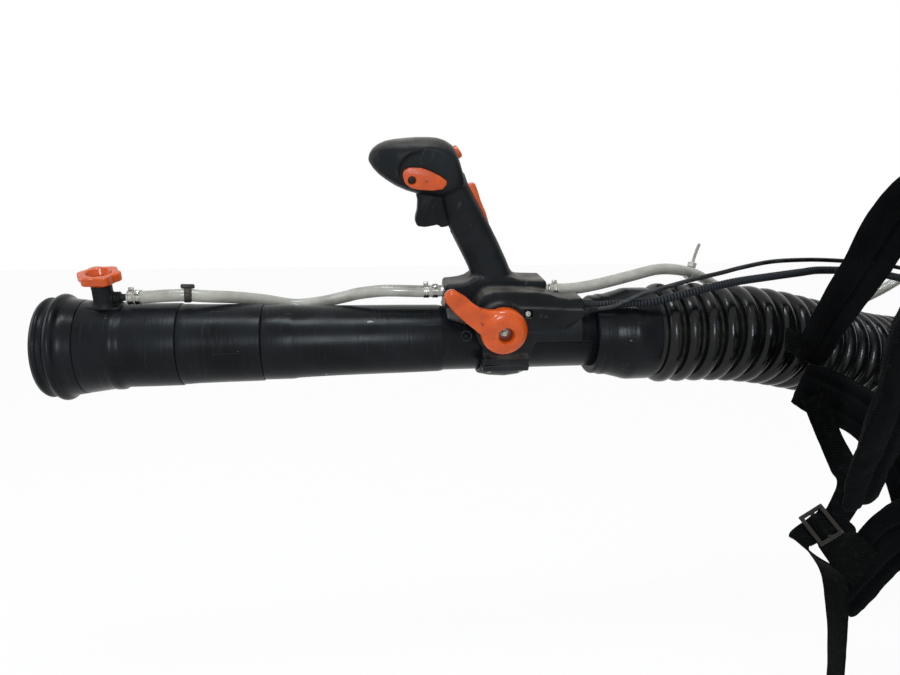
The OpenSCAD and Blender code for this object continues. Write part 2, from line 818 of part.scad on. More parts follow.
// Flat webbing: from the belt to the buckle, its hanging tail, and the stub at the strap's end
module webbing() {
    feed = [
        [[-356, 44, 352], [0.8, 0, 0.5], 38, 2.4],
        [[-340, 42, 318], [0.9, 0, 0.4], 34, 2.4],
        [[-334, 28, 292], [0.8, -0.3, 0.3], 30, 2.4],
        [[-348, 0, 281], [0.5, -0.8, -0.3], 26, 2.4],
        [[-355.3, -2.4, 274], [0.44, -0.8, -0.41], 25, 2.4],
        [[-362.2, -1.6, 264.7], [0.44, -0.8, -0.41], 25, 2.4]
    ];
    tail = [
        [[-385.3, 1.6, 233.3], [0.44, -0.8, -0.41], 23, 2.4],
        [[-387.4, 1.9, 230.4], [0.44, -0.8, -0.41], 24, 2.4],
        [[-388.8, 2.5, 227.6], [0.44, -0.8, -0.41], 25, 2.4],
        [[-379, 6, 217], [0.46, -0.8, -0.25], 26, 2.4],
        [[-358, 5, 195], [0.5, -0.8, -0.1], 26, 2.4],
        [[-349, 2, 168], [0.45, -0.9, 0], 26, 2.4],
        [[-347, -2, 133], [0.45, -0.9, 0], 26, 2.4],
        [[-345, -4, 82], [0.45, -0.9, 0], 26, 2.4],
        [[-343, -4, 40], [0.5, -0.85, 0], 26, 2.4]
    ];
    stub = [
        [[-362, 63, 397], [0.5, 0.3, 0.8], 24, 2.4],
        [[-372, 60, 408], [0.4, 0.3, 0.9], 24, 2.4],
        [[-384, 56, 412], [0.3, 0.3, 0.9], 22, 2.4]
    ];
    color(dark_grey) {
        band(feed, 3, 8);
        band(tail, 3, 8);
        band(stub, 3, 8);
    }
}

// A ladder-lock buckle: two side rails and three bars, turned to the webbing's fall
module ladder_lock() {
    for (y = [-16, 12]) translate([-19, y, -2.5]) cube([38, 4, 5]);
    for (x = [-19, -3, 13]) translate([x, -13, -2]) cube([6, 26, 4]);
}
module buckles() {
    color(black) translate([-373.7, 0, 249.1]) rotate([-43, 53.5, 172.1]) ladder_lock();
}

// ---------------------------------------------------------------- hose and cables

hose_route = [
    [-498, 170, 400], [-468, 170, 400], [-430, 170, 400], [-385, 171, 398.5], [-335, 175, 392],
    [-285, 183, 381], [-235, 195, 369], [-185, 209, 358], [-140, 219, 351],
    [-100, mouth[1], mouth[2]], [-70, mouth[1], mouth[2]], [mouth[0] - 4, mouth[1], mouth[2]]
];

// Ribs: every rib has a crest of two rings and a valley ring, and the bore follows it inside
module pleated_hose() {
    wall = 1.8;
    sides = 16;
    line = smooth(hose_route, 12);
    steps = [for (i = [0:len(line) - 2]) norm(line[i + 1] - line[i])];
    total = [for (i = 0, s = 0; i <= len(steps); s = s + (i < len(steps) ? steps[i] : 0), i = i + 1) s];
    length = total[len(total) - 1];
    sleeve = 27;
    pitch = (length - 2 * sleeve) / rib_count;
    function along(s) = let (i = max([for (k = [0:len(total) - 2]) if (total[k] <= s) k]))
        line[i] + (line[i + 1] - line[i]) * (s - total[i]) / steps[i];
    function facing(s) = unit(along(min(s + 4, length - 0.1)) - along(max(s - 4, 0)));
    rows = concat(
        [[0, duct_r + 0.8], [sleeve - 4, duct_r + 0.8]],
        [
            for (k = [0:rib_count - 1], q = [[0, valley_r], [0.22, rib_r], [0.72, rib_r]])
                [sleeve + (k + q[0]) * pitch, q[1]]
        ],
        [[length - sleeve, valley_r + 2], [length - sleeve + 4, 49], [length - 0.1, 49]]
    );
    bore = [for (i = [len(rows) - 1:-1:0]) [rows[i][0], i > len(rows) - 3 ? duct_r - 1 : rows[i][1] - wall]];
    outer = [for (r = rows) ring_at(along(r[0]), facing(r[0]), r[1], sides)];
    inner = [for (r = bore) ring_at(along(r[0]), facing(r[0]), r[1], sides)];
    tight = min([for (k = [0:rib_count - 2]) norm(along(sleeve + (k + 0.99) * pitch)
        - along(sleeve + (k + 0.72) * pitch))]);
    echo(hose_length = length, rib_pitch = pitch, least_gap_between_ribs = tight);
    color(black) skin(concat(outer, inner), true);
}

cable_route = [
    [-555, 138, 430], [-531, 129, 434.5], [-517, 125.5, 440.5], [-498, 122, 449], [-452, 118, 462],
    [-419, 119, 469], [-396, 121, 474], [-360, 128, 479], [-320, 137, 480], [-284, 146, 479],
    [-240, 154, 476], [-195, 161, 471], [-150, 166, 462], [-100, 168, 446], [-60, 162, 430],
    [-10, 138, 418], [40, 90, 412], [66, 50, 412], [84, 36, 412]
];
conduit_route = [
    [-554, 147, 435], [-538, 138.5, 435.5], [-517, 133, 437.5], [-488, 120.5, 441],
    [-453, 115, 450], [-420, 116, 457], [-398, 118, 460.5], [-360, 125, 464], [-321, 134, 467],
    [-293, 142, 468.5], [-240, 151, 466], [-195, 158, 460], [-150, 162, 450], [-100, 162, 436],
    [-60, 154, 421], [-10, 130, 409], [40, 90, 404], [66, 62, 408], [84, 50, 412]
];
rear_liquid_route = [
    [-587, 161.1, 450.2], [-572, 161.1, 450.2], [-556, 162, 451], [-530, 165, 455],
    [-494, 172, 462], [-459, 182, 468], [-427, 194, 466], [-395, 210, 458], [-350, 232, 438],
    [-300, 250, 416], [-250, 264, 403], [-200, 275, 401], [-150, 281, 409], [-105, 279, 428],
    [-70, 262, 458], [-50, 232, 488], [-42, 207, 504], [-40, 188, 508], [-40, 170, 508]
];
front_liquid_route = [
    [-1002.5, 155.9, 449], [-990, 155.9, 449], [-980, 156, 449.3], [-966, 156.5, 450],
    [-948, 158, 450], [-930, 163, 448], [-905, 176, 445], [-880, 192, 440],
    [-850, 200, 434], [-822, 195, 437], [-800, 181, 443], [-783, 170, 448], [-760, 163, 451],
    [-738, 161.1, 450.8], [-722, 161.1, 450.2], [-702.5, 161.1, 450.2]
];

module throttle_cable() {
    color(black) cord(smooth(cable_route, 3), cable_d, 8);
}
module throttle_conduit() {
    color(dark_grey) cord(smooth(conduit_route, 3), conduit_d, 8);
}
module liquid_hose_rear() {
    color(clear_white) cord(smooth(rear_liquid_route, 3), liquid_d, 10);
}
module liquid_hose_front() {
    color(clear_white) cord(smooth(front_liquid_route, 3), liquid_d, 10);
}

// A tie round the liquid hose, with its head and cut tail standing up
module cable_tie() {
    color(clear_white) translate([-410, 203, 462]) rotate([0, 18, 28]) {
        difference() {
            rod_x(liquid_d / 2 + 2.4, -2.5, 2.5);
            rod_x(liquid_d / 2 + 1.2, -3, 3);
        }
        translate([-3.5, -4, liquid_d / 2 + 1.5]) cube([7, 7, 6]);
        translate([-2.3, -1.5, liquid_d / 2 + 7.5]) cube([4.6, 1.4, 20]);
    }
}

// ---------------------------------------------------------------- blow tube

module nozzle_rim() {
    lip_x = nozzle_x;
    color(black) turned() difference() {
        union() {
            polygon([[43.5, lip_x + 1], [45, lip_x], [47, lip_x], [46, lip_x + 8], [46.4, lip_x + 18],
                [46.9, lip_x + 25], [45.5, -1046], [43.5, -1046]]);
            translate([45.6, lip_x + 4]) circle(2.8);
            translate([47, lip_x + 17]) circle(4.8);
        }
        translate([0, lip_x - 5]) square([43.5, 60]);
    }
}

module nozzle_body() {
    rear_r = 41;
    seat_x = -1012;
    color(black) difference() {
        turned() difference() {
            union() {
                polygon([[42.9, -1046 + slip], [45.4, -1046 + slip], [rear_r, seat_x], [rear_r, extension_x],
                    [rear_r - tube_wall, extension_x], [rear_r - tube_wall, seat_x]]);
                polygon([[rear_r - 1, -1020], [rear_r + 1.9, -1018], [rear_r + 1.2, -1010],
                    [rear_r - 1, -1008]]);
            }
        }
        on_tube(valve_roll) translate([metering_x, 0, 0]) cylinder(r = 5 + slip, h = 60);
    }
}

module spray_insert() {
    color(dark_grey) difference() {
        union() {
            turned() polygon([[0, -1045], [5, -1042], [12, -1032], [14, -1020], [14, -996], [10, -988],
                [0, -984]]);
            on_tube() for (a = [0:90:270]) rotate([a + valve_roll + 45, 0, 0])
                translate([-1008, 10, -1.2]) cube([16, 28.3, 2.4]);
        }
        on_tube(valve_roll) translate([metering_x, 0, 4]) cylinder(r = 5 + slip, h = 60);
    }
}

module extension_tube() {
    color(black) turned() polygon([
        [35.9, extension_x - 18], [38.4, extension_x - 18], [38.4, extension_x + slip],
        [40, extension_x + slip], [39.5, extension_x + 14], [39, collar_x - slip],
        [36.4, collar_x - slip], [36, extension_x + 30]
    ]);
}

module main_tube() {
    color(black) {
        turned() polygon([
            [33.4, collar_x - 14], [35.8, collar_x - 14], [35.8, collar_x], [38, collar_x],
            [38, -851], [37.2, -846], [36, -805], [35.4, -740], [34.8, -704], [tube_r, -700],
            [tube_r, cuff_x + 22], [tube_r - tube_wall, cuff_x + 22],
            [tube_r - tube_wall, -700], [35.4 - tube_wall, -740], [33.4, -846]
        ]);
        // Small round ring raised on the side, with a plain raised panel ahead of it
        on_tube(handle_roll) translate([-676, 0, 0]) rotate([68, 0, 0]) difference() {
            cylinder(r = 6, h = tube_r + 0.6);
            cylinder(r = 4, h = tube_r + 2);
            translate([0, 0, -1]) cylinder(r = 7, h = tube_r - 1.5);
        }
    }
}

module hose_cuff() {
    color(black) turned() polygon([
        [tube_r + slip, cuff_x], [41, cuff_x], [42, cuff_x + 2], [42.4, cuff_x + 10],
        [43.4, cuff_x + 11], [43.6, cuff_x + 19], [48.6, cuff_x + 37], [49.6, cuff_x + 44],
        [49.6, cuff_x + 64], [48.6, cuff_x + 66], [46.4, cuff_x + 66], [46.4, cuff_x + 42],
        [41, cuff_x + 36], [38, cuff_x + 22.2], [tube_r + slip, cuff_x + 22.2]
    ]);
}

// The saddle: a half sleeve over the tube, a foot for the grip, the valve's body on the
// near side and a wing that takes the cables
module handle_saddle() {
    in_r = tube_r + slip;
    out_r = 41.2;
    sleeve_x1 = -558;
    color(black) on_tube(handle_roll) difference() {
        union() {
            intersection() {
                rod_x(out_r, saddle_x0, sleeve_x1);
                xz(-38, 98) polygon([[-698, 30], [-680, 25], [-662, 21], [-662, -30], [-612, -30],
                    [-612, 0], [-540, 0], [-540, 70], [-698, 70]]);
                rotate([clamp_turn, 0, 0]) translate([-700, -60, 0]) cube([160, 120, 60]);
            }
            // Foot under the grip
            xz(-17, 34) polygon([[saddle_x0, 30], [saddle_x0, 59], [-695, 61], [-680, 62.5],
                [-669, 65], [-622, 65], [-597, 65], [saddle_x1, 62], [saddle_x1 - 2, 50], [-600, 36]]);
            // Rounded valve body on the near side
            translate([lever_pivot[0], 0, lever_pivot[1]]) rod_y(27, -38, -10);
            xz(-34, 24) polygon([[-666, 10], [-669, 30], [-666, 44], [-660, 49], [-630, 50],
                [-606, 46], [-600, 8], [-640, -4]]);
            // Wing for the cables
            xz(-37, 29) polygon([[-625, 8], [-625, 43], [-600, 42.5], [-557, 43], [-556, 31],
                [-572, 17], [-590, 8]]);
            // Ears for the clamp's screws
            rotate([clamp_turn, 0, 0]) for (y = [-46, 36])
                translate([clamp_x0, y, 0]) cube([clamp_x1 - clamp_x0, 10, 8]);
        }
        rod_x(in_r, saddle_x0 - 1, -500);
        // Liquid way through the foot, the valve spindle's bore, and the clamp's screw holes
        translate([0, 0, 51]) rod_x(3, saddle_x0 - 1, saddle_x1 + 1);
        translate([lever_pivot[0], 0, lever_pivot[1]]) rod_y(7 + run, -39, -32);
        rotate([clamp_turn, 0, 0]) for (x = clamp_screws, y = [-41, 41])
            translate([x, y, -1]) cylinder(r = 2, h = 8);
        // The grip's tongue sits in a pocket
        translate([-650, -9, 56]) cube([20, 18, 20]);
        // Recess round the wing's screw
        translate([-617, 0, 36]) rod_y(3.5, -38, -33);
    }
    // Hose barbs at both ends of the liquid way
    color(steel) on_tube(handle_roll) {
        for (x = [[saddle_x0 - 5, saddle_x0 + 2], [saddle_x1 - 4, saddle_x1 + 6]])
            translate([0, 0, 51]) difference() {
                rod_x(3.6, x[0], x[1]);
                rod_x(2, x[0] - 1, x[1] + 1);
            }
    }
}

module saddle_clamp() {
    out_r = 38;
    color(black) on_tube(handle_roll + clamp_turn) difference() {
        union() {
            intersection() {
                rod_x(out_r, clamp_x0, clamp_x1);
                translate([-700, -60, -60]) cube([120, 120, 59.5]);
            }
            for (y = [-46, 36]) translate([clamp_x0, y, -8.5]) cube([clamp_x1 - clamp_x0, 10, 8]);
        }
        rod_x(tube_r + slip, -700, -600);
        for (x = clamp_screws, y = [-41, 41]) translate([x, y, -10]) cylinder(r = 2, h = 12);
    }
}

// Outline of the grip and of the head, and the same drawn in by the shell's wall
module grip_2d(inset) {
    polygon([
        [-669 + inset, 65.1 + inset], [-677 + inset, 83], [-695 + inset, 117], [-704 + inset, 150],
        [-700, 164], [-682 - inset, 166], [-676 - inset, 158], [-652 - inset, 117],
        [-635 - inset, 84], [-628 - inset, 68 + inset], [-626 - inset, 65.1 + inset]
    ]);
}
module head_2d(inset) {
    polygon([
        [-727, 150 + inset], [-742, 153 + inset], [-756 + inset * 0.4, 161 + inset],
        [-768 + inset, 171 + inset * 0.7], [-773 + inset, 181], [-770 + inset, 188 - inset * 0.5],
        [-762 + inset * 0.7, 194 - inset], [-749, 200 - inset], [-735, 202 - inset],
        [-718, 202 - inset], [-704 - inset * 0.4, 199 - inset], [-695 - inset, 194 - inset * 0.8],
        [-686 - inset, 181], [-682 - inset, 168], [-678 - inset, 160], [-690, 150 + inset]
    ]);
}

// A hollow half of the handle; its inner pieces keep their room in it
module handle_half(side) {
    wall = 2.6;
    y0 = side > 0 ? slip / 2 : -head_w / 2;
    g0 = side > 0 ? slip / 2 : -grip_w / 2;
    outer_head = head_w / 2 - slip / 2;
    outer_grip = grip_w / 2 - slip / 2;
    on_tube(handle_roll) difference() {
        union() {
            xz(y0, outer_head) head_2d(0);
            xz(g0, outer_grip) grip_2d(0);
            // Tongue into the saddle's pocket
            translate([-649.5, side > 0 ? slip / 2 : -8.5, 57]) cube([19, 8.4, 9]);
        }
        xz(side > 0 ? -1 : -head_w / 2 + wall, head_w / 2 - wall + 1) head_2d(wall);
        xz(side > 0 ? -1 : -grip_w / 2 + wall, grip_w / 2 - wall + 1) grip_2d(wall);
        // Slots for the trigger, the lockout and the stop button
        translate([-735, -7.5, 112]) cube([52, 15, 50]);
        translate([-684, -6.5, 108]) cube([40, 13, 51]);
        translate([button_at[0], 0, button_at[1]]) rotate([0, button_tilt, 0])
            translate([0, 0, -6]) cylinder(r = 6.5 + gap, h = 20);
        // Pins of the trigger and the lockout, and the setting lever's bore
        translate([trigger_pivot[0], 0, trigger_pivot[1]]) rod_y(2.5, -30, 30);
        translate([lockout_pivot[0], 0, lockout_pivot[1]]) rod_y(2, -30, 30);
        if (side < 0)
            translate([setting_pivot[0], 0, setting_pivot[1]]) rod_y(4 + run, -30, 0);
    }
}

module handle_left() {
    color(black) handle_half(-1);
}
module handle_right() {
    color(black) handle_half(1);
}

// Screws of the handle, the saddle and its clamp, and the pins of the trigger and lockout
module handle_screws() {
    color(steel) on_tube(handle_roll) {
        translate([trigger_pivot[0], 0, trigger_pivot[1]]) rod_y(2.5 - run, -22.9, 22.9);
        translate([lockout_pivot[0], 0, lockout_pivot[1]]) rod_y(2 - run, -16.9, 16.9);
        rotate([clamp_turn, 0, 0]) for (x = clamp_screws, y = [-41, 41]) translate([x, y, 0]) {
            translate([0, 0, -11]) cylinder(r = 1.9, h = 17);
            translate([0, 0, -11.6]) cylinder(r = 3.6, h = 3);
        }
        translate([-617, 0, 36]) rod_y(3.4, -36.5, -33);
        for (p = [[-659, 90], [-679, 130]]) translate([p[0], 0, p[1]]) rod_y(3, 17.1, 18.6);
    }
}

// ---------------------------------------------------------------- controls

module trigger() {
    color(black) on_tube(handle_roll) difference() {
        xz(-6.5, 13) polygon([
            [-715, 170], [-707, 175], [-700, 171], [-699, 160], [-697, 150], [-688, 128],
            [-688, 121], [-696, 117], [-707, 118.5], [-725, 116.5], [-728, 120], [-727, 130],
            [-725, 140], [-727, 148], [-718, 158]
        ]);
        translate([trigger_pivot[0], 0, trigger_pivot[1]]) rod_y(2.5 + run, -8, 8);
    }
}

module trigger_lockout() {
    color(orange) on_tube(handle_roll) difference() {
        union() {
            xz(-5.5, 11) polygon([[-680, 158], [-668, 160], [-667, 158], [-653, 119], [-650, 114],
                [-654, 108], [-659, 110], [-662, 118]]);
            translate([lockout_pivot[0], 0, lockout_pivot[1]]) rod_y(4.5, -5.5, 5.5);
        }
        translate([lockout_pivot[0], 0, lockout_pivot[1]]) rod_y(2 + run, -8, 8);
    }
}

module setting_lever() {
    y0 = -head_w / 2 - gap;
    color(orange) on_tube(handle_roll) difference() {
        union() {
            xz(y0 - 4.5, 4.5) polygon([[-743, 164], [-742, 169], [-739, 174], [-734, 176.5], [-727, 175.5],
                [-718, 172.5], [-708, 167], [-700.5, 162], [-701, 158.5], [-705, 156.3],
                [-716, 154.6], [-730, 156], [-738, 159]]);
            translate([setting_pivot[0], 0, setting_pivot[1]]) rod_y(4, y0 - 1, -14);
        }
        translate([setting_pivot[0], 0, setting_pivot[1]]) rod_y(5, y0 - 5, y0 - 2);
    }
}

module stop_button() {
    color(orange) on_tube(handle_roll) translate([button_at[0], 0, button_at[1]])
        rotate([0, button_tilt, 0]) {
            translate([0, 0, -5]) cylinder(r = 6.5, h = 8);
            translate([0, 0, 3]) cylinder(r = 5.5, h = 1);
            translate([0, 0, -9.5]) cylinder(r = 4, h = 5);
        }
}

module valve_lever() {
    arm = 70;
    arm_w = 10;
    tilt = 148;
    y0 = -38 - gap;
    color(orange) on_tube(handle_roll) translate([lever_pivot[0], 0, lever_pivot[1]]) difference() {
        union() {
            rod_y(lever_r, y0 - 12, y0);
            rod_y(lever_r - 3, y0 - 16, y0 - 11);
            rod_y(7, y0 - 2, -32.5);
            xz(y0 - 13, 11) rotate(tilt) {
                translate([arm - arm_w, 0]) circle(arm_w);
                polygon([[arm - arm_w, -arm_w], [arm - arm_w, arm_w], [20, 11], [0, 20], [0, -20],
                    [20, -11]]);
            }
        }
        // Recess for the screw, and its shank's hole
        rod_y(6.5, y0 - 17, y0 - 9);
        rod_y(2.2, y0 - 20, -31);
    }
    // Screw head in the recess
    color(steel) on_tube(handle_roll) translate([lever_pivot[0], 0, lever_pivot[1]]) {
        rod_y(5, y0 - 12, y0 - 9 - slip);
        rod_y(2.1, y0 - 9.5, -33);
    }
}

module metering_valve() {
    pipe_z = 51;
    color(black) on_tube(valve_roll) difference() {
        union() {
            translate([metering_x, 0, 43.5]) cylinder(r = 10, h = 21);
            translate([metering_x, 0, 14.5]) cylinder(r = 5, h = 30);
            translate([0, 0, pipe_z]) rod_x(5.5, metering_x, -1008);
            translate([0, 0, pipe_z]) rod_x(3.2, -1010, -1003);
        }
        translate([0, 0, pipe_z]) rod_x(2, metering_x, -1002);
        translate([metering_x, 0, 46]) cylinder(r = 4 + run, h = 27);
        on_cone();
    }
}

// The nozzle's cone with a hole for the valve's pin, cut from what stands on the cone
module on_cone() {
    difference() {
        rotate([0, 90, 0]) rotate_extrude()
            polygon([[0, -1046], [45.6, -1046], [41.2, -1012], [43, -1018], [42.4, -1008],
                [41.2, -1000], [0, -1000]]);
        translate([metering_x, 0, 0]) cylinder(r = 5, h = 60);
    }
}

module metering_knob() {
    lobe_r = 7;
    z0 = 64.5 + gap;
    color(orange) on_tube(valve_roll) translate([metering_x, 0, 0]) difference() {
        union() {
            translate([0, 0, z0]) cylinder(r = 9.5, h = 3);
            translate([0, 0, z0 + 2]) linear_extrude(10) {
                circle(knob_d / 2 - 5);
                for (a = [0:60:300]) rotate(a) translate([knob_d / 2 - lobe_r, 0]) circle(lobe_r);
            }
            translate([0, 0, 46.5]) cylinder(r = 4, h = 21);
        }
        translate([0, 0, z0 + 5]) cylinder(r = 11, h = 10);
    }
}

// Small band clamps on the liquid hose's ends
module hose_clamps() {
    ring_r = liquid_d / 2 + 0.45;
    places = [
        [-999, 155.9, 449], [-992.5, 155.9, 449], [-716, 161.1, 450.2], [-707, 161.1, 450.2],
        [-581, 161.1, 450.2]
    ];
    color(steel) for (p = places) translate(p) difference() {
        rod_x(ring_r + 1.2, -2.5, 2.5);
        rod_x(ring_r, -3, 3);
    }
}

back_plate();
back_pad();
base_frame();
av_mounts();
fan_housing_front();
fan_housing_rear();
crankcase();
crank_bearings();
cylinder_block();  // cylinder
piston();
engine_cover();
muffler();
carburetor();
air_filter_cover();
spark_plug();
starter_housing();
fuel_tank();
tank_shelf();
liquid_tank();
elbow();
shoulder_pad_left();
shoulder_pad_right();
hip_belt();
webbing();
buckles();
housing_screws();
fan_wheel();
crankshaft();
flywheel();
starter_reel();
starter_grip();
starter_rope();
fuel_cap();
tank_cap();
choke_lever();
pleated_hose();
throttle_cable();
throttle_conduit();
liquid_hose_rear();
cable_tie();
hose_cuff();
main_tube();
extension_tube();
nozzle_body();
nozzle_rim();
spray_insert();
handle_left();
handle_right();
handle_saddle();
saddle_clamp();
liquid_hose_front();
hose_clamps();
handle_screws();
metering_valve();
metering_knob();
valve_lever();
trigger();
trigger_lockout();
setting_lever();
stop_button();
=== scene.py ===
"""Backpack blower with a liquid tank: the finish of every surface, the soft goods, the cords and
the detailed mouldings, built round the construction's frame.

Laid out as an add-on and run as a script. Blender's unit is the metre; outlines and profiles are
written in millimetres and pass through mm(). Pieces of the blow tube are drawn about the tube's own
axis, x along it, and are then seated on it with their lean.
"""
import math

import bpy
from mathutils import Matrix, Quaternion, Vector, noise


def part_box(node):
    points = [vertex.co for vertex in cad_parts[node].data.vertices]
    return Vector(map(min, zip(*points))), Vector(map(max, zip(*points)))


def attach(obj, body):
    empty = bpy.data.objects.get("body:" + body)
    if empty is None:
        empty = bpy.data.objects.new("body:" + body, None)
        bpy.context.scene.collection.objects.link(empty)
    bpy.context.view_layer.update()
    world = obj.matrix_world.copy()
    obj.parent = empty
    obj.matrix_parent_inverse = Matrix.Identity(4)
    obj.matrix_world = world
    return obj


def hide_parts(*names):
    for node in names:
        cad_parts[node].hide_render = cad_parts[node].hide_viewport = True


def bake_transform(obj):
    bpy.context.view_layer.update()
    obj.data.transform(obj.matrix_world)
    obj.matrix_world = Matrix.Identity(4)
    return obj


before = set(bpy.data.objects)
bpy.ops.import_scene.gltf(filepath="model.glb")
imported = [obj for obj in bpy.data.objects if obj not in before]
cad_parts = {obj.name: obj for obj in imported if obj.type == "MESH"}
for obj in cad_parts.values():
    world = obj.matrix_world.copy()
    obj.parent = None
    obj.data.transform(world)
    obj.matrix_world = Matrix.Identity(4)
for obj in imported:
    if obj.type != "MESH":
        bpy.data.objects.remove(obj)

bl_info = {
    "name": "Backpack blower",
    "version": (1, 0, 0),
    "blender": (4, 5, 0),
    "location": "View3D > Sidebar > Blower",
    "description": "Builds the finished pieces of a backpack blower with a liquid tank",
    "category": "Object",
}

# The blow tube's axis, from the cuff that is turned about it, and the lean of what it carries
CUFF_LOW, CUFF_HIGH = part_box("hose_cuff")
TUBE = Vector((0, (CUFF_LOW.y + CUFF_HIGH.y) / 2, (CUFF_LOW.z + CUFF_HIGH.z) / 2))
HANDLE_ROLL = math.radians(10)
VALVE_ROLL = math.radians(16)
CLAMP_TURN = math.radians(20)
BUTTON_AT = (-689, 0, 188)
BUTTON_OUT = (math.sin(math.radians(55)), 0, math.cos(math.radians(55)))

# Where the hose bends, and where the cords are split into a front and a rear stretch
BEND_SPLIT_X = -0.275

CAMERA_AT = Vector((-0.78731, -0.52241, 0.52329))
CAMERA_TURN = (math.radians(80), 0, math.radians(-8))
CAMERA_LENS = 27.04
DAYLIGHT = (0.84, 0.93, 1.0)

HOSE_ROUTE = [
    (-0.498, 0.170, 0.400), (-0.468, 0.170, 0.400), (-0.430, 0.170, 0.400), (-0.385, 0.171, 0.3985),
    (-0.335, 0.175, 0.392), (-0.285, 0.183, 0.381), (-0.235, 0.195, 0.369), (-0.185, 0.209, 0.358),
    (-0.140, 0.219, 0.351), (-0.100, 0.224, 0.348), (-0.070, 0.224, 0.348), (-0.044, 0.224, 0.348),
]
CABLE_ROUTE = [
    (-0.555, 0.138, 0.430), (-0.531, 0.129, 0.4345), (-0.517, 0.1255, 0.4405), (-0.498, 0.122, 0.449),
    (-0.452, 0.118, 0.462), (-0.419, 0.119, 0.469), (-0.396, 0.121, 0.474), (-0.360, 0.128, 0.479),
    (-0.320, 0.137, 0.480), (-0.284, 0.146, 0.479), (-0.240, 0.154, 0.476), (-0.195, 0.161, 0.471),
    (-0.150, 0.166, 0.462), (-0.100, 0.168, 0.446), (-0.060, 0.162, 0.430), (-0.010, 0.138, 0.418),
    (0.040, 0.090, 0.412), (0.066, 0.050, 0.412), (0.084, 0.036, 0.412),
]
CONDUIT_ROUTE = [
    (-0.554, 0.147, 0.435), (-0.538, 0.1385, 0.4355), (-0.517, 0.133, 0.4375), (-0.488, 0.1205, 0.441),
    (-0.453, 0.115, 0.450), (-0.420, 0.116, 0.457), (-0.398, 0.118, 0.4605), (-0.360, 0.125, 0.464),
    (-0.321, 0.134, 0.467), (-0.293, 0.142, 0.4685), (-0.240, 0.151, 0.466), (-0.195, 0.158, 0.460),
    (-0.150, 0.162, 0.450), (-0.100, 0.162, 0.436), (-0.060, 0.154, 0.421), (-0.010, 0.130, 0.409),
    (0.040, 0.090, 0.404), (0.066, 0.062, 0.408), (0.084, 0.050, 0.412),
]
REAR_LIQUID_ROUTE = [
    (-0.587, 0.1611, 0.4502), (-0.572, 0.1611, 0.4502), (-0.556, 0.162, 0.451), (-0.530, 0.165, 0.455),
    (-0.494, 0.172, 0.462), (-0.459, 0.182, 0.468), (-0.427, 0.194, 0.466), (-0.395, 0.210, 0.458),
    (-0.350, 0.232, 0.438), (-0.300, 0.250, 0.416), (-0.250, 0.264, 0.403), (-0.200, 0.275, 0.401),
    (-0.150, 0.281, 0.409), (-0.105, 0.279, 0.428), (-0.070, 0.262, 0.458), (-0.050, 0.232, 0.488),
    (-0.042, 0.207, 0.504), (-0.040, 0.188, 0.508), (-0.040, 0.170, 0.508),
]
FRONT_LIQUID_ROUTE = [
    (-1.0025, 0.1559, 0.449), (-0.990, 0.1559, 0.449), (-0.980, 0.156, 0.4493), (-0.966, 0.1565, 0.450),
    (-0.948, 0.158, 0.450), (-0.930, 0.163, 0.448), (-0.905, 0.176, 0.445), (-0.880, 0.192, 0.440),
    (-0.850, 0.200, 0.434), (-0.822, 0.195, 0.437), (-0.800, 0.181, 0.443), (-0.783, 0.170, 0.448),
    (-0.760, 0.163, 0.451), (-0.738, 0.1611, 0.4508), (-0.722, 0.1611, 0.4502),
    (-0.7025, 0.1611, 0.4502),
]


# ---------------------------------------------------------------- measures and curves


def mm(*values):
    """Millimetres to metres, as a vector."""
    return Vector(values) * 0.001


def linear(hex_colour):
    """An sRGB hex colour as linear RGBA."""
    parts = [int(hex_colour[i:i + 2], 16) / 255 for i in (1, 3, 5)]
    return [p / 12.92 if p <= 0.04045 else ((p + 0.055) / 1.055) ** 2.4 for p in parts] + [1.0]


def smooth(points, steps):
    """A smooth line through given points, with a number of steps for each span."""
    line = [Vector(p) for p in points]
    made = []
    for i in range(len(line) - 1):
        a, b = line[max(i - 1, 0)], line[i]
        c, d = line[i + 1], line[min(i + 2, len(line) - 1)]
        for step in range(steps):
            t = step / steps
            made.append(0.5 * (2 * b + (c - a) * t + (2 * a - 5 * b + 4 * c - d) * t * t
                               + (3 * b - a - 3 * c + d) * t ** 3))
    return made + [line[-1]]


def line_length(line):
    return sum((b - a).length for a, b in zip(line, line[1:]))


def along(line, distances):
    """The points at the given distances along a line."""
    spots = []
    i, gone = 0, 0.0
    for distance in distances:
        while i < len(line) - 2 and gone + (line[i + 1] - line[i]).length < distance:
            gone += (line[i + 1] - line[i]).length
            i += 1
        step = (line[i + 1] - line[i]).length
        spots.append(line[i].lerp(line[i + 1], min(1.0, max(0.0, (distance - gone) / step))))
    return spots


def arc(middle, radius, start, end, steps):
    """Points of an arc in a flat outline; the angles are in degrees."""
    turns = [math.radians(start + (end - start) * i / steps) for i in range(steps + 1)]
    return [(middle[0] + radius * math.cos(t), middle[1] + radius * math.sin(t)) for t in turns]


def oval(count, power):
    """A round section of unit size; a higher power makes it squarer."""
    made = []
    for i in range(count):
        c, s = math.cos(math.tau * i / count), math.sin(math.tau * i / count)
        made.append((math.copysign(abs(c) ** (2 / power), c), math.copysign(abs(s) ** (2 / power), s)))
    return made


# ---------------------------------------------------------------- modelling by hand


def leave_edit():
    if bpy.context.mode != "OBJECT":
        bpy.ops.object.mode_set(mode="OBJECT")


def only(piece):
    """Makes a piece the only one selected, and the active one."""
    leave_edit()
    bpy.ops.object.select_all(action="DESELECT")
    piece.select_set(True)
    bpy.context.view_layer.objects.active = piece
    return piece


def edit(piece):
    only(piece)
    bpy.ops.object.mode_set(mode="EDIT")
    bpy.ops.mesh.select_all(action="SELECT")


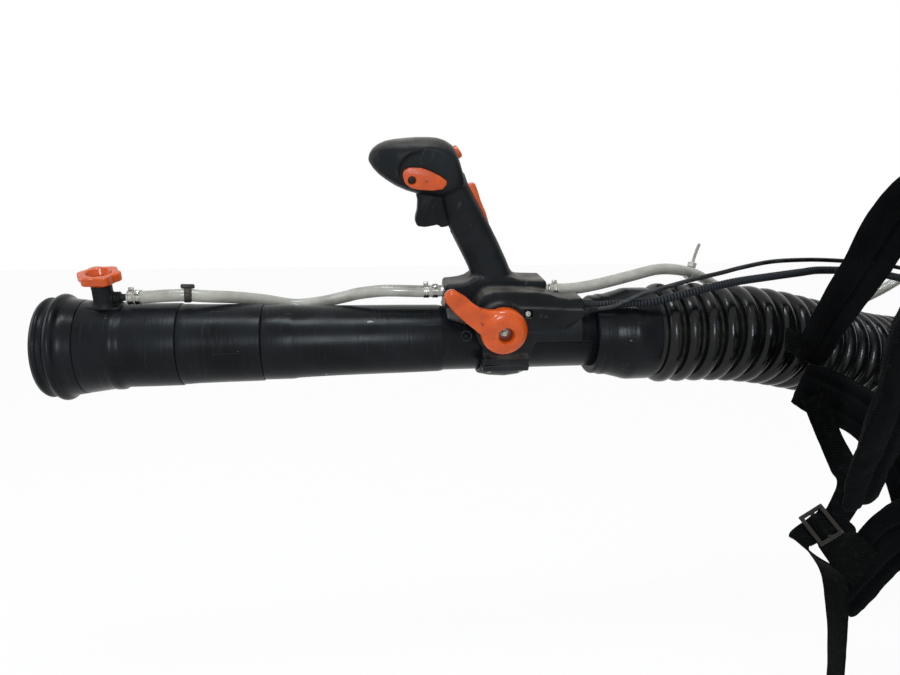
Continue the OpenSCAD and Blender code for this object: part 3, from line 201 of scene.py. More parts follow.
def settle(piece):
    """Puts a piece's place, turn and scale into its mesh."""
    only(piece)
    bpy.ops.object.transform_apply(location=True, rotation=True, scale=True)
    return piece


def named(piece, name):
    piece.name = name
    piece.data.name = name
    return piece


def draw(name, points, closed):
    """A wire drawn from point to point, each point extruded from the last."""
    leave_edit()
    bpy.ops.object.select_all(action="DESELECT")
    bpy.ops.mesh.primitive_plane_add(size=0.001, location=points[0])
    piece = settle(named(bpy.context.object, name))
    bpy.ops.object.mode_set(mode="EDIT")
    bpy.ops.mesh.merge(type="CENTER")
    at = points[0]
    for spot in points[1:] + points[:1] if closed else points[1:]:
        bpy.ops.mesh.extrude_region_move(TRANSFORM_OT_translate={"value": spot - at})
        at = spot
    bpy.ops.mesh.select_all(action="SELECT")
    if closed:
        bpy.ops.mesh.remove_doubles(threshold=1e-6)
    return piece


def outward():
    """Merges what meets and turns every face outwards, in edit mode."""
    bpy.ops.mesh.select_all(action="SELECT")
    bpy.ops.mesh.remove_doubles(threshold=2e-6)
    bpy.ops.mesh.normals_make_consistent(inside=False)


def plate(name, outline, plane, low, high):
    """A flat outline in mm, filled and drawn out between two levels of the third axis."""
    lift = high - low
    spots = {
        "xz": ([mm(a, low, b) for a, b in outline], mm(0, lift, 0)),
        "yz": ([mm(low, a, b) for a, b in outline], mm(lift, 0, 0)),
        "xy": ([mm(a, b, low) for a, b in outline], mm(0, 0, lift)),
    }[plane]
    piece = draw(name, spots[0], closed=True)
    bpy.ops.mesh.edge_face_add()
    bpy.ops.mesh.extrude_region_move(TRANSFORM_OT_translate={"value": spots[1]})
    outward()
    leave_edit()
    return piece


def box(name, low, high):
    """A block between two corners in mm."""
    outline = [(low[0], low[1]), (high[0], low[1]), (high[0], high[1]), (low[0], high[1])]
    return plate(name, outline, "xy", low[2], high[2])


def turned(name, profile, steps=96):
    """A profile of (x, radius) in mm, spun about the x axis."""
    piece = draw(name, [mm(x, 0, r) for x, r in profile], closed=True)
    bpy.ops.mesh.spin(steps=steps, angle=math.tau, center=(0, 0, 0), axis=(1, 0, 0))
    outward()
    leave_edit()
    return piece


def stand(piece, foot, direction, turn=0.0):
    """Moves a piece made about the x axis to stand on a point in mm, along a direction."""
    piece.rotation_mode = "QUATERNION"
    tilt = Vector((1, 0, 0)).rotation_difference(Vector(direction).normalized())
    piece.rotation_quaternion = tilt @ Quaternion((1, 0, 0), turn)
    piece.location = mm(*foot)
    settle(piece)
    piece.rotation_mode = "XYZ"
    return piece


def drum(name, radius, low, high, foot=(0, 0, 0), direction=(1, 0, 0), edge=0.0, steps=64):
    """A round bar along a direction, with an edge rounded by a bevel."""
    profile = [(low, 0), (low, radius), (high, radius), (high, 0)]
    piece = stand(turned(name, profile, steps), foot, direction)
    return soften(piece, edge) if edge else piece


def loft(name, section, stations, axis):
    """A section drawn out through stations: (place along the axis, middle, half sizes), all in mm."""
    def spot(place, middle, half, point):
        a, b = middle[0] + half[0] * point[0], middle[1] + half[1] * point[1]
        return {"x": mm(place, a, b), "z": mm(a, b, place)}[axis]
    place, middle, half = stations[0]
    piece = draw(name, [spot(place, middle, half, p) for p in section], closed=True)
    bpy.ops.mesh.edge_face_add()
    for place_to, middle_to, half_to in stations[1:]:
        start, end = spot(place, middle, half, (0, 0)), spot(place_to, middle_to, half_to, (0, 0))
        bpy.ops.mesh.extrude_region_move(TRANSFORM_OT_translate={"value": end - start})
        grow = [half_to[0] / half[0], half_to[1] / half[1]]
        bpy.ops.transform.resize(value=(1, *grow) if axis == "x" else (*grow, 1), center_override=end)
        place, middle, half = place_to, middle_to, half_to
    outward()
    leave_edit()
    return piece


def seat(piece, roll=0.0):
    """Moves a piece drawn about the tube's axis to its place on the tube."""
    piece.location = TUBE
    piece.rotation_euler = (roll, 0, 0)
    return settle(piece)


def modify(piece, kind, **settings):
    """Adds one modifier with its settings and applies it."""
    only(piece)
    bpy.ops.object.modifier_add(type=kind)
    modifier = piece.modifiers[-1]
    for key, value in settings.items():
        setattr(modifier, key, value)
    bpy.ops.object.modifier_apply(modifier=modifier.name)
    return piece


def soften(piece, width, segments=2, angle=28):
    """Rounds the sharp edges of a moulded piece; the width is in mm."""
    return modify(piece, "BEVEL", width=width * 0.001, segments=segments, limit_method="ANGLE",
                  angle_limit=math.radians(angle), use_clamp_overlap=True)


def shade(piece, angle=35):
    only(piece)
    bpy.ops.object.shade_smooth_by_angle(angle=math.radians(angle))
    return piece


def joined(name, pieces):
    only(pieces[0])
    for other in pieces[1:]:
        other.select_set(True)
    bpy.ops.object.join()
    return named(bpy.context.object, name)


def cut(piece, *tools):
    """Cuts the tools out of a piece and takes them away."""
    for tool in tools:
        modify(piece, "BOOLEAN", operation="DIFFERENCE", solver="EXACT", object=tool)
        bpy.data.objects.remove(tool)
    return piece


def within(piece, tool):
    """Keeps what lies inside a tool, and takes the tool away."""
    modify(piece, "BOOLEAN", operation="INTERSECT", solver="EXACT", object=tool)
    bpy.data.objects.remove(tool)
    return piece


def copied(piece, name):
    """A copy with a mesh of its own."""
    only(piece)
    bpy.ops.object.duplicate(linked=False)
    return named(bpy.context.object, name)


def moulded(name, pieces, grain, rounds):
    """Grows pieces into one soft moulding: voxels of a size in mm, then rounds of smoothing."""
    piece = joined(name, pieces)
    modify(piece, "REMESH", mode="VOXEL", voxel_size=grain * 0.001)
    return modify(piece, "SMOOTH", factor=0.5, iterations=rounds)


def halved(piece, name, spot, normal):
    """Splits a piece by a plane into two closed ones; returns the new one, on the normal's side."""
    other = copied(piece, name)
    for part, inner in ((piece, False), (other, True)):
        edit(part)
        bpy.ops.mesh.bisect(plane_co=spot, plane_no=normal, use_fill=True,
                            clear_inner=inner, clear_outer=not inner)
        leave_edit()
    return other


def swept(name, line, radii, sides, capped=True):
    """A round cord along a line; radii is one radius in metres or one for each point."""
    piece = draw(name, line, closed=False)
    leave_edit()
    only(piece)
    bpy.ops.object.convert(target="CURVE")
    piece = bpy.context.object
    points = piece.data.splines[0].points
    sizes = radii if hasattr(radii, "__len__") else [radii] * len(line)
    if (points[0].co.to_3d() - line[0]).length > (points[-1].co.to_3d() - line[0]).length:
        sizes = sizes[::-1]
    widest = max(sizes)
    for point, size in zip(points, sizes):
        point.radius = size / widest
    piece.data.bevel_depth = widest
    piece.data.bevel_resolution = sides // 2 - 2
    piece.data.use_fill_caps = capped
    bpy.ops.object.convert(target="MESH")
    edit(bpy.context.object)
    outward()
    leave_edit()
    return named(bpy.context.object, name)


def skin(name, rings, capped=True):
    """A shell through rings of points, one ring after another, for soft goods."""
    count = len(rings[0])
    faces = []
    for i in range(len(rings) - 1):
        for j in range(count):
            k = (j + 1) % count
            faces.append((i * count + j, i * count + k, (i + 1) * count + k, (i + 1) * count + j))
    if capped:
        faces.append(tuple(reversed(range(count))))
        faces.append(tuple((len(rings) - 1) * count + j for j in range(count)))
    mesh = bpy.data.meshes.new(name)
    mesh.from_pydata([p for ring in rings for p in ring], [], faces)
    piece = bpy.data.objects.new(name, mesh)
    bpy.context.scene.collection.objects.link(piece)
    edit(piece)
    outward()
    leave_edit()
    return piece


def dress(piece, kind, angle=60):
    """Gives a piece its surface and smooth shading below an angle."""
    piece.data.materials.clear()
    piece.data.materials.append(made_of(kind))
    return shade(piece, angle)


def finish(piece, kind, body, *nodes, angle=35, slot=None):
    """Dresses a piece, sets the body it rides on, and hides the nodes it stands for."""
    dress(piece, kind, angle)
    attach(piece, body)
    if nodes:
        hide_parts(*nodes)
    return piece


# ---------------------------------------------------------------- surfaces


def add_node(tree, kind, given=None, output=0):
    """Adds a node and gives back one of its outputs. A socket among what is given is linked to the
    input of that name; anything else is an input's value, or a property of the node."""
    node = tree.nodes.new("ShaderNode" + kind)
    for key, value in (given or {}).items():
        if isinstance(value, bpy.types.NodeSocket):
            tree.links.new(value, node.inputs[key])
        elif isinstance(key, int) or key in node.inputs:
            node.inputs[key].default_value = value
        else:
            setattr(node, key, value)
    return node.outputs[output]


def surface(name, **settings):
    """A new material: its node tree, its shader and the piece's own coordinates."""
    material = bpy.data.materials.new(name)
    material.use_nodes = True
    tree = material.node_tree
    shader = tree.nodes["Principled BSDF"]
    for key, value in settings.items():
        shader.inputs[key.replace("_", " ")].default_value = value
    return material, tree, shader, add_node(tree, "TexCoord", None, "Object")


def patched(tree, place, base, mark, size, reach, stretch=(1, 1, 1), detail=4):
    """A colour broken by patches of another. The size is in metres, the reach is where in the noise
    a patch starts to show and where it is full, and a stretch draws the patches out. Gives back the
    colour and the noise."""
    drawn = add_node(tree, "Mapping", {"Vector": place, "Scale": stretch})
    noise_of = add_node(tree, "TexNoise", {"Vector": drawn, "Scale": 1 / size, "Detail": detail})
    share = add_node(tree, "MapRange", {"Value": noise_of, "From Min": reach[0], "From Max": reach[1]})
    return add_node(tree, "Mix", {"data_type": "RGBA", 0: share, 6: base, 7: mark}, 2), noise_of


def edged(tree, base, mark, reach):
    """A colour that gives way to another where the surface stands out, for rubbed edges and for a painted
    highlight on crests, or where it falls in, if the reach runs downwards, for dust in hollows and for
    painted shade in hollows."""
    sharp = add_node(tree, "NewGeometry", None, "Pointiness")
    share = add_node(tree, "MapRange", {"Value": sharp, "From Min": reach[0], "From Max": reach[1]})
    return add_node(tree, "Mix", {"data_type": "RGBA", 0: share, 6: base, 7: mark}, 2)


def relief(tree, shader, heights):
    """One relief of several patterns, each a height and its depth in metres."""
    above = None
    for height, depth in heights:
        given = {"Height": height, "Distance": depth}
        if above:
            given["Normal"] = above
        above = add_node(tree, "Bump", given)
    tree.links.new(above, shader.inputs["Normal"])


def clothe(tree, shader, colour, gloss, smoothest, roughest):
    """Gives a shader its colour, and a roughness that follows a pattern between two values."""
    tree.links.new(colour, shader.inputs["Base Color"])
    given = {"Value": gloss, "From Min": 0.3, "From Max": 0.72, "To Min": smoothest, "To Max": roughest}
    tree.links.new(add_node(tree, "MapRange", given), shader.inputs["Roughness"])


def turned_up(tree, low, high):
    """One on what faces up, nought on the sides: where dust lies, and where the handle's wear and painted
    highlight go.
    """
    facing = add_node(tree, "NewGeometry", None, "Normal")
    up = add_node(tree, "SeparateXYZ", {0: facing}, 2)
    return add_node(tree, "MapRange", {"Value": up, "From Min": low, "From Max": high})


def moulded_polyamide(colours):
    """Glass-filled polyamide, injection moulded in a spark-eroded mould: a fine matt grain, and pale grey
    on what faces up, partly wear polished by the resting hand and partly a painted highlight. The grain
    of 0.3 mm is drawn at 1.1 mm so that it shows."""
    material, tree, shader, place = surface("moulded_polyamide", Specular_IOR_Level=0.11)
    base, rub = patched(tree, place, colours.handle_black, linear("#1c1f21"), 0.030, (0.35, 0.7))
    scuffed, scuff = patched(tree, place, base, linear("#3a3d3f"), 0.007, (0.66, 0.80), (1, 1, 0.5))
    fine = add_node(tree, "TexNoise", {"Vector": place, "Scale": 1 / 0.0011, "Detail": 2})
    # Pale grey patches, laid below on what faces up: partly wear, partly a painted highlight on the
    # hood's top.
    wear_and_painted_highlight = patched(tree, place, scuffed, linear("#716a62"), 0.026, (0.30, 0.80), (1, 1, 0.6))[0]
    above = turned_up(tree, 0.3, 1.0)
    # What faces up takes the mix of wear and painted highlight.
    held = add_node(tree, "Mix", {"data_type": "RGBA", 0: above, 6: scuffed, 7: wear_and_painted_highlight}, 2)
    clothe(tree, shader, edged(tree, held, linear("#45484b"), (0.54, 0.64)), rub, 0.46, 0.30)
    relief(tree, shader, [(rub, 0.0006), (scuff, 0.0001), (fine, 0.0001)])
    return material


def blown_polyethylene(colours):
    """Black polyethylene tube, blow moulded and polished by use: a satin skin with rings of rub
    marks round it, fine scratches along it and a few pale nicks."""
    material, tree, shader, place = surface("blown_polyethylene", Specular_IOR_Level=0.10)
    base, cloud = patched(tree, place, colours.tube_black, linear("#16181b"), 0.045, (0.35, 0.7))
    ringed, ring = patched(tree, place, base, linear("#202327"), 0.012, (0.60, 0.82), (6, 0.5, 0.5), 3)
    scored, scratch = patched(tree, place, ringed, linear("#35383b"), 0.004, (0.70, 0.80),
                              (0.08, 1.6, 1.6), 2)
    nicked = patched(tree, place, scored, linear("#8b887f"), 0.006, (0.79, 0.81), (0.35, 1, 1), 1)[0]
    clothe(tree, shader, nicked, cloud, 0.22, 0.38)
    relief(tree, shader, [(cloud, 0.0005), (ring, 0.00012), (scratch, 0.00003)])
    return material


def hose_rubber(colours):
    """Black thermoplastic rubber blown into pleats: rather glossy on the crests, dusty between."""
    material, tree, shader, place = surface("hose_rubber", Specular_IOR_Level=0.22)
    base, dust = patched(tree, place, colours.hose_black, linear("#1a1918"), 0.018, (0.45, 0.8))
    fine = add_node(tree, "TexNoise", {"Vector": place, "Scale": 1 / 0.002, "Detail": 2})
    clothe(tree, shader, edged(tree, base, linear("#1a1916"), (0.50, 0.44)), dust, 0.15, 0.28)
    relief(tree, shader, [(dust, 0.0004), (fine, 0.00005)])
    return material


def orange_polyamide(colours):
    """Orange polyamide controls, injection moulded and fingered: a soft gloss, a faint flow mottle,
    patches of grime, and painted shade in the corners."""
    material, tree, shader, place = surface("orange_polyamide", Specular_IOR_Level=0.4,
                                            Subsurface_Weight=0.05, Subsurface_Scale=0.002)
    base, flow = patched(tree, place, colours.orange, linear("#ae400b"), 0.012, (0.35, 0.75))
    grimy, grime = patched(tree, place, base, linear("#7d2b0c"), 0.007, (0.66, 0.76))
    # The dark red-brown in the hollows is painted shade in the corners.
    clothe(tree, shader, edged(tree, grimy, linear("#6e2a12"), (0.485, 0.44)), flow, 0.20, 0.30)
    relief(tree, shader, [(flow, 0.00015), (grime, 0.00005)])
    return material


def cable_vinyl(colours):
    """Extruded black vinyl sheath: an even gloss with lengthwise rubs."""
    material, tree, shader, place = surface("cable_vinyl", Specular_IOR_Level=0.2)
    base, rub = patched(tree, place, linear("#121314"), linear("#303336"), 0.006, (0.45, 0.75),
                        (0.3, 1, 1))
    clothe(tree, shader, base, rub, 0.26, 0.40)
    relief(tree, shader, [(rub, 0.0001)])
    return material


def wound_steel(colours):
    """Conduit wound of flat steel wire with a black oxide: dark metal with a painted highlight on the
    crests of its turns.
    """
    material, tree, shader, place = surface("wound_steel", Metallic=0.2, Specular_IOR_Level=0.08)
    base, patch = patched(tree, place, linear("#0c0d0e"), linear("#141517"), 0.010, (0.35, 0.7))
    # The paler colour on the crests of the turns is a painted highlight.
    clothe(tree, shader, edged(tree, base, linear("#2c2f33"), (0.50, 0.58)), patch, 0.30, 0.42)
    relief(tree, shader, [(patch, 0.0001)])
    return material


def zinc_steel(colours):
    """Bright zinc plate on steel clamps and screws: a slightly clouded shine."""
    material, tree, shader, place = surface("zinc_steel", Metallic=1.0)
    base, cloud = patched(tree, place, linear("#8a8983"), linear("#b0aea8"), 0.004, (0.3, 0.7))
    clothe(tree, shader, base, cloud, 0.2, 0.4)
    relief(tree, shader, [(cloud, 0.00008)])
    return material


def clear_vinyl(colours):
    """Soft clear vinyl hose, yellowed and clouded by spray: most light passes, the rest scatters."""
    material, tree, shader, place = surface("clear_vinyl", IOR=1.45, Transmission_Weight=0.35)
    base, cloud = patched(tree, place, colours.vinyl, linear("#a5a195"), 0.020, (0.3, 0.75))
    clothe(tree, shader, base, cloud, 0.12, 0.26)
    relief(tree, shader, [(cloud, 0.00008)])
    return material


def pad_fabric(colours):
    """Black textured nylon cloth over foam: a plain weave of 0.5 mm threads, drawn at 1.6 mm so that
    it shows, with a soft sheen, faded patches and pale lint."""
    material, tree, shader, place = surface("pad_fabric", Roughness=0.86, Specular_IOR_Level=0.03,
                                            Sheen_Weight=0.015, Sheen_Roughness=0.5)
    thread = 0.0016
    askew = add_node(tree, "Mapping", {"Vector": place, "Rotation": (0.5, 0.6, 0.4)})
    weave_of = {"wave_type": "BANDS", "Vector": askew, "Scale": math.pi / thread / 10, "Distortion": 0.6}
    warp = add_node(tree, "TexWave", {**weave_of, "bands_direction": "X"}, "Fac")
    weft = add_node(tree, "TexWave", {**weave_of, "bands_direction": "Z"}, "Fac")
    weave = add_node(tree, "Math", {"operation": "MAXIMUM", 0: warp, 1: weft})
    base, fade = patched(tree, place, colours.fabric, linear("#0d0e0f"), 0.05, (0.35, 0.7))
    threads = add_node(tree, "Mix", {"data_type": "RGBA", 0: weave, 6: linear("#050506"), 7: base}, 2)
    linted = patched(tree, place, threads, linear("#2b2a28"), 0.0035, (0.74, 0.82), detail=2)[0]
    tree.links.new(linted, shader.inputs["Base Color"])
    relief(tree, shader, [(fade, 0.0012), (weave, 0.0004)])
    return material


def webbing_weave(colours):
    """Woven polypropylene webbing: ribs of 1.2 mm across the band, drawn at 2.4 mm so that they show,
    black with rubbed fibres."""
    material, tree, shader, place = surface("webbing_weave", Roughness=0.75, Specular_IOR_Level=0.03,
                                            Sheen_Weight=0.01, Sheen_Roughness=0.4)
    rib = 0.0024
    ribs = add_node(tree, "TexWave", {"wave_type": "BANDS", "bands_direction": "Z", "Vector": place,
                                      "Scale": math.pi / rib / 10, "Distortion": 0.3}, "Fac")
    woven = add_node(tree, "Mix", {"data_type": "RGBA", 0: ribs, 6: linear("#040404"),
                                   7: colours.webbing}, 2)
    frayed, fray = patched(tree, place, woven, linear("#131415"), 0.006, (0.5, 0.8))
    tree.links.new(frayed, shader.inputs["Base Color"])
    relief(tree, shader, [(ribs, 0.0004), (fray, 0.0003)])
    return material


def acetal(colours):
    """Acetal buckle, injection moulded: brownish black with a waxy gloss and scuffed rails."""
    material, tree, shader, place = surface("acetal", Specular_IOR_Level=0.14)
    base, rub = patched(tree, place, linear("#0c0b0a"), linear("#1a1715"), 0.008, (0.35, 0.7))
    clothe(tree, shader, edged(tree, base, linear("#3d3933"), (0.51, 0.58)), rub, 0.26, 0.40)
    relief(tree, shader, [(rub, 0.0002)])
    return material


def housing_polymer(colours):
    """Black polyamide housings with a leathery moulded grain, drawn at 1.6 mm so that it shows, and
    dust on what faces up."""
    material, tree, shader, place = surface("housing_polymer", Specular_IOR_Level=0.12)
    base, patch = patched(tree, place, colours.housing_black, linear("#26282a"), 0.05, (0.35, 0.7))
    dusty, dust = patched(tree, place, base, linear("#4a4843"), 0.035, (0.40, 0.75))
    above = turned_up(tree, 0.2, 1.0)
    settled = add_node(tree, "Mix", {"data_type": "RGBA", 0: above, 6: base, 7: dusty}, 2)
    fine = add_node(tree, "TexNoise", {"Vector": place, "Scale": 1 / 0.0016, "Detail": 2})
    clothe(tree, shader, settled, patch, 0.44, 0.58)
    relief(tree, shader, [(dust, 0.0005), (fine, 0.00022)])
    return material


def cast_aluminium(colours):
    """Die-cast aluminium of the engine: a grainy pale grey with painted shade in the hollows between the
    fins.
    """
    material, tree, shader, place = surface("cast_aluminium", Metallic=0.85)
    base, patch = patched(tree, place, colours.aluminium, linear("#8c8a86"), 0.02, (0.35, 0.7))
    fine = add_node(tree, "TexNoise", {"Vector": place, "Scale": 1 / 0.0012, "Detail": 3})
    # The dark brown in the hollows between the fins is painted shade.
    clothe(tree, shader, edged(tree, base, linear("#3b342b"), (0.49, 0.44)), patch, 0.42, 0.62)
    relief(tree, shader, [(patch, 0.0002), (fine, 0.00018)])
    return material


def bright_steel(colours):
    """Ground and turned steel of shafts and bearings: clean metal with fine turning marks."""
    material, tree, shader, place = surface("bright_steel", Metallic=1.0)
    base, marks = patched(tree, place, linear("#b4b4b2"), linear("#d2d1ce"), 0.002, (0.3, 0.7),
                          (4, 1, 1), 2)
    clothe(tree, shader, base, marks, 0.18, 0.34)
    return material


def heated_steel(colours):
    """Pressed steel of the exhaust: straw and brown heat stains under a sooty bloom."""
    material, tree, shader, place = surface("heated_steel", Metallic=0.9)
    base, stain = patched(tree, place, linear("#8a7d6c"), linear("#5c4636"), 0.03, (0.35, 0.65))
    sooty, soot = patched(tree, place, base, linear("#2c2622"), 0.008, (0.5, 0.8))
    clothe(tree, shader, sooty, soot, 0.36, 0.66)
    relief(tree, shader, [(stain, 0.0004), (soot, 0.0002)])
    return material


def tank_polyethylene(colours):
    """Natural polyethylene tank, blow moulded: milky and waxy, letting some light through, yellowed
    in patches."""
    material, tree, shader, place = surface("tank_polyethylene", Specular_IOR_Level=0.45,
                                            Transmission_Weight=0.15, Subsurface_Weight=0.3,
                                            Subsurface_Scale=0.006)
    base, patch = patched(tree, place, colours.tank, linear("#cfc7ab"), 0.07, (0.3, 0.75))
    fine = add_node(tree, "TexNoise", {"Vector": place, "Scale": 1 / 0.003, "Detail": 2})
    clothe(tree, shader, base, patch, 0.36, 0.5)
    relief(tree, shader, [(patch, 0.001), (fine, 0.00012)])
    return material


def soft_rubber(colours):
    """Matt black rubber of mounts, boots and the starter's grip: a powdery bloom on top."""
    material, tree, shader, place = surface("soft_rubber", Specular_IOR_Level=0.1)
    base, bloom = patched(tree, place, linear("#151516"), linear("#2f2f2e"), 0.012, (0.4, 0.75))
    clothe(tree, shader, base, bloom, 0.66, 0.8)
    relief(tree, shader, [(bloom, 0.0003)])
    return material


def braided_nylon(colours):
    """Braided nylon starter rope: pale strands with dark flecks, drawn at a 3 mm lay."""
    material, tree, shader, place = surface("braided_nylon", Roughness=0.65, Sheen_Weight=0.2)
    lay = add_node(tree, "TexWave", {"wave_type": "BANDS", "bands_direction": "DIAGONAL", "Vector": place,
                                     "Scale": math.pi / 0.003 / 10, "Distortion": 1.5}, "Fac")
    strands = add_node(tree, "Mix", {"data_type": "RGBA", 0: lay, 6: linear("#8d8b84"),
                                     7: linear("#dad7cd")}, 2)
    tree.links.new(strands, shader.inputs["Base Color"])
    relief(tree, shader, [(lay, 0.0004)])
    return material


def grey_polyamide(colours):
    """Glass-filled polyamide of the fan and the reel: dark grey with a swirl of fibres."""
    material, tree, shader, place = surface("grey_polyamide", Specular_IOR_Level=0.15)
    base, swirl = patched(tree, place, linear("#2c2d2f"), linear("#4a4b4d"), 0.015, (0.3, 0.7),
                          (0.5, 1.5, 1.5))
    clothe(tree, shader, base, swirl, 0.44, 0.56)
    relief(tree, shader, [(swirl, 0.0002)])
    return material


# The material made for each kind of surface
SURFACES = {}


def made_of(kind):
    """The one material of a kind, made when it is first asked for."""
    if kind not in SURFACES:
        SURFACES[kind] = kind(bpy.context.scene.blower_finish)
    return SURFACES[kind]


# ---------------------------------------------------------------- what a user may change


def colour(name, description, hex_colour):
    """A colour that a user may change, with its default written as sRGB hex."""
    return bpy.props.FloatVectorProperty(name=name, description=description, subtype="COLOR", size=4,
                                         min=0, max=1, default=linear(hex_colour))


class BLOWER_PG_finish(bpy.types.PropertyGroup):
    """Colours of the finished pieces."""
    tube_black: colour("Tube", "Black of the blow tube and the nozzle", "#0b0d0f")
    handle_black: colour("Handle", "Black of the pistol grip and its saddle", "#0f1113")
    housing_black: colour("Housings", "Black of the fan unit, the frame and the caps", "#141517")
    hose_black: colour("Hose", "Black of the pleated hose", "#0b0c0d")
    orange: colour("Controls", "Orange of the levers, the knob and the engine cover", "#c94f0e")
    vinyl: colour("Liquid hose", "Tint of the clear liquid hose", "#cbc8bd")
    fabric: colour("Pads", "Black of the padded straps", "#050506")
    webbing: colour("Webbing", "Black of the flat webbing", "#090a0a")
    tank: colour("Tanks", "Milky white of the tanks", "#e4e0cf")
    aluminium: colour("Engine", "Grey of the cast engine parts", "#b2b2b0")


class BLOWER_PG_sizes(bpy.types.PropertyGroup):
    """Sizes of the finished pieces that the construction leaves open."""
    rib_radius: bpy.props.FloatProperty(
        name="Rib radius", description="Outer radius of the hose's ribs", default=0.054,
        min=0.050, max=0.056, unit="LENGTH")
    valley_radius: bpy.props.FloatProperty(
        name="Valley radius", description="Outer radius between the hose's ribs", default=0.0445,
        min=0.043, max=0.046, unit="LENGTH")
    rib_count: bpy.props.IntProperty(
        name="Ribs", description="Number of ribs on the hose", default=20, min=12, max=24)
    hose_wall: bpy.props.FloatProperty(
        name="Hose wall", description="Wall of the pleated hose", default=0.0018, unit="LENGTH")
    cable: bpy.props.FloatProperty(
        name="Cable", description="Diameter of the throttle cable's sheath", default=0.0046,
        unit="LENGTH")
    conduit: bpy.props.FloatProperty(
        name="Conduit", description="Diameter of the wound conduit", default=0.0086, unit="LENGTH")
    conduit_pitch: bpy.props.FloatProperty(
        name="Conduit pitch", description="Pitch of the conduit's turns", default=0.0032, unit="LENGTH")
    liquid: bpy.props.FloatProperty(
        name="Liquid hose", description="Diameter of the liquid hose", default=0.0122, unit="LENGTH")
    rope: bpy.props.FloatProperty(
        name="Starter rope", description="Diameter of the starter rope", default=0.0035, unit="LENGTH")
    welt: bpy.props.FloatProperty(
        name="Welt", description="Radius of the bound edges of the pads", default=0.0018, unit="LENGTH")
    edge: bpy.props.FloatProperty(
        name="Moulded edge", description="Rounding of the housings' edges, in mm", default=1.0,
        min=0.2, max=2.0)
    pillow: bpy.props.FloatProperty(
        name="Pillow", description="Most that the pads swell when they are stuffed", default=0.005,
        min=0.0, max=0.012, unit="LENGTH")


# ---------------------------------------------------------------- stage


class BLOWER_OT_stage(bpy.types.Operator):
    """Makes the camera, the floor, the white surroundings and the soft studio lights"""
    bl_idname = "blower.stage"
    bl_label = "Stage"

    def execute(self, context):
        leave_edit()
        bpy.ops.object.select_all(action="DESELECT")
        bpy.ops.object.camera_add(location=CAMERA_AT, rotation=CAMERA_TURN)
        camera = bpy.context.object
        camera.data.lens = CAMERA_LENS
        camera.data.sensor_width = 36
        camera.data.clip_start = 0.05
        camera.data.clip_end = 60
        context.scene.camera = camera
        context.scene.view_settings.view_transform = "Standard"
        self.floor()
        self.surroundings(context)
        middle = Vector((-0.6, 0.1, 0.35))
        self.lamp("window", (-0.80, -1.75, 0.85), middle, (0.16, 0.55), 16)
        self.lamp("ceiling", (-0.85, -0.35, 2.10), middle, (0.9, 0.35), 20)
        self.lamp("side", (-2.10, 0.15, 0.95), middle, (0.7, 0.7), 5)
        return {"FINISHED"}

    def floor(self):
        bpy.ops.object.select_all(action="DESELECT")
        bpy.ops.mesh.primitive_plane_add(size=14)
        floor = named(bpy.context.object, "floor")
        material, tree, shader, place = surface("painted_floor", Roughness=0.9, Specular_IOR_Level=0.1)
        shader.inputs["Base Color"].default_value = linear("#f2f2f2")
        glow = add_node(tree, "Emission", {"Color": linear("#ffffff"), "Strength": 1.0})
        share = add_node(tree, "Math", {"operation": "MULTIPLY", 0: seen_white(tree), 1: 0.95})
        mix = add_node(tree, "MixShader", {0: share, 1: shader.outputs[0], 2: glow})
        tree.links.new(mix, tree.nodes["Material Output"].inputs["Surface"])
        floor.data.materials.append(material)

    def surroundings(self, context):
        world = bpy.data.worlds.new("studio")
        context.scene.world = world
        world.use_nodes = True
        tree = world.node_tree
        light = tree.nodes["Background"]
        light.inputs["Color"].default_value = linear("#ffffff")
        light.inputs["Strength"].default_value = 0.42
        white = add_node(tree, "Background", {"Color": linear("#ffffff"), "Strength": 1.0})
        mix = add_node(tree, "MixShader", {0: seen_white(tree), 1: light.outputs[0], 2: white})
        tree.links.new(mix, tree.nodes["World Output"].inputs["Surface"])

    def lamp(self, name, spot, aim, size, power):
        bpy.ops.object.select_all(action="DESELECT")
        turn = (aim - Vector(spot)).to_track_quat("-Z", "Y").to_euler()
        bpy.ops.object.light_add(type="AREA", location=spot, rotation=turn)
        lamp = bpy.context.object
        lamp.name = name
        lamp.data.shape = "RECTANGLE"
        lamp.data.size, lamp.data.size_y = size
        lamp.data.energy = power
        lamp.data.color = DAYLIGHT


def seen_white(tree):
    """One where a camera, mirror or glass ray looks, nought where light is gathered."""
    seen = add_node(tree, "LightPath", None, "Is Camera Ray")
    for kind in ("Is Glossy Ray", "Is Transmission Ray"):
        ray = add_node(tree, "LightPath", None, kind)
        seen = add_node(tree, "Math", {"operation": "MAXIMUM", 0: seen, 1: ray})
    return seen


# ---------------------------------------------------------------- hose and cords


def split_route(line):
    """A line in two where the hose's two bends meet: its front stretch, then its rear one."""
    at = min(range(len(line)), key=lambda i: abs(line[i].x - BEND_SPLIT_X))
    return line[:at + 1], line[at:]


def flexes(piece, front):
    """Puts the place of a stretch of hose or cord into its mesh, alike for the front and the rear
    stretch.
    """
    if front:
        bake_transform(piece)
    else:
        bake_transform(piece)


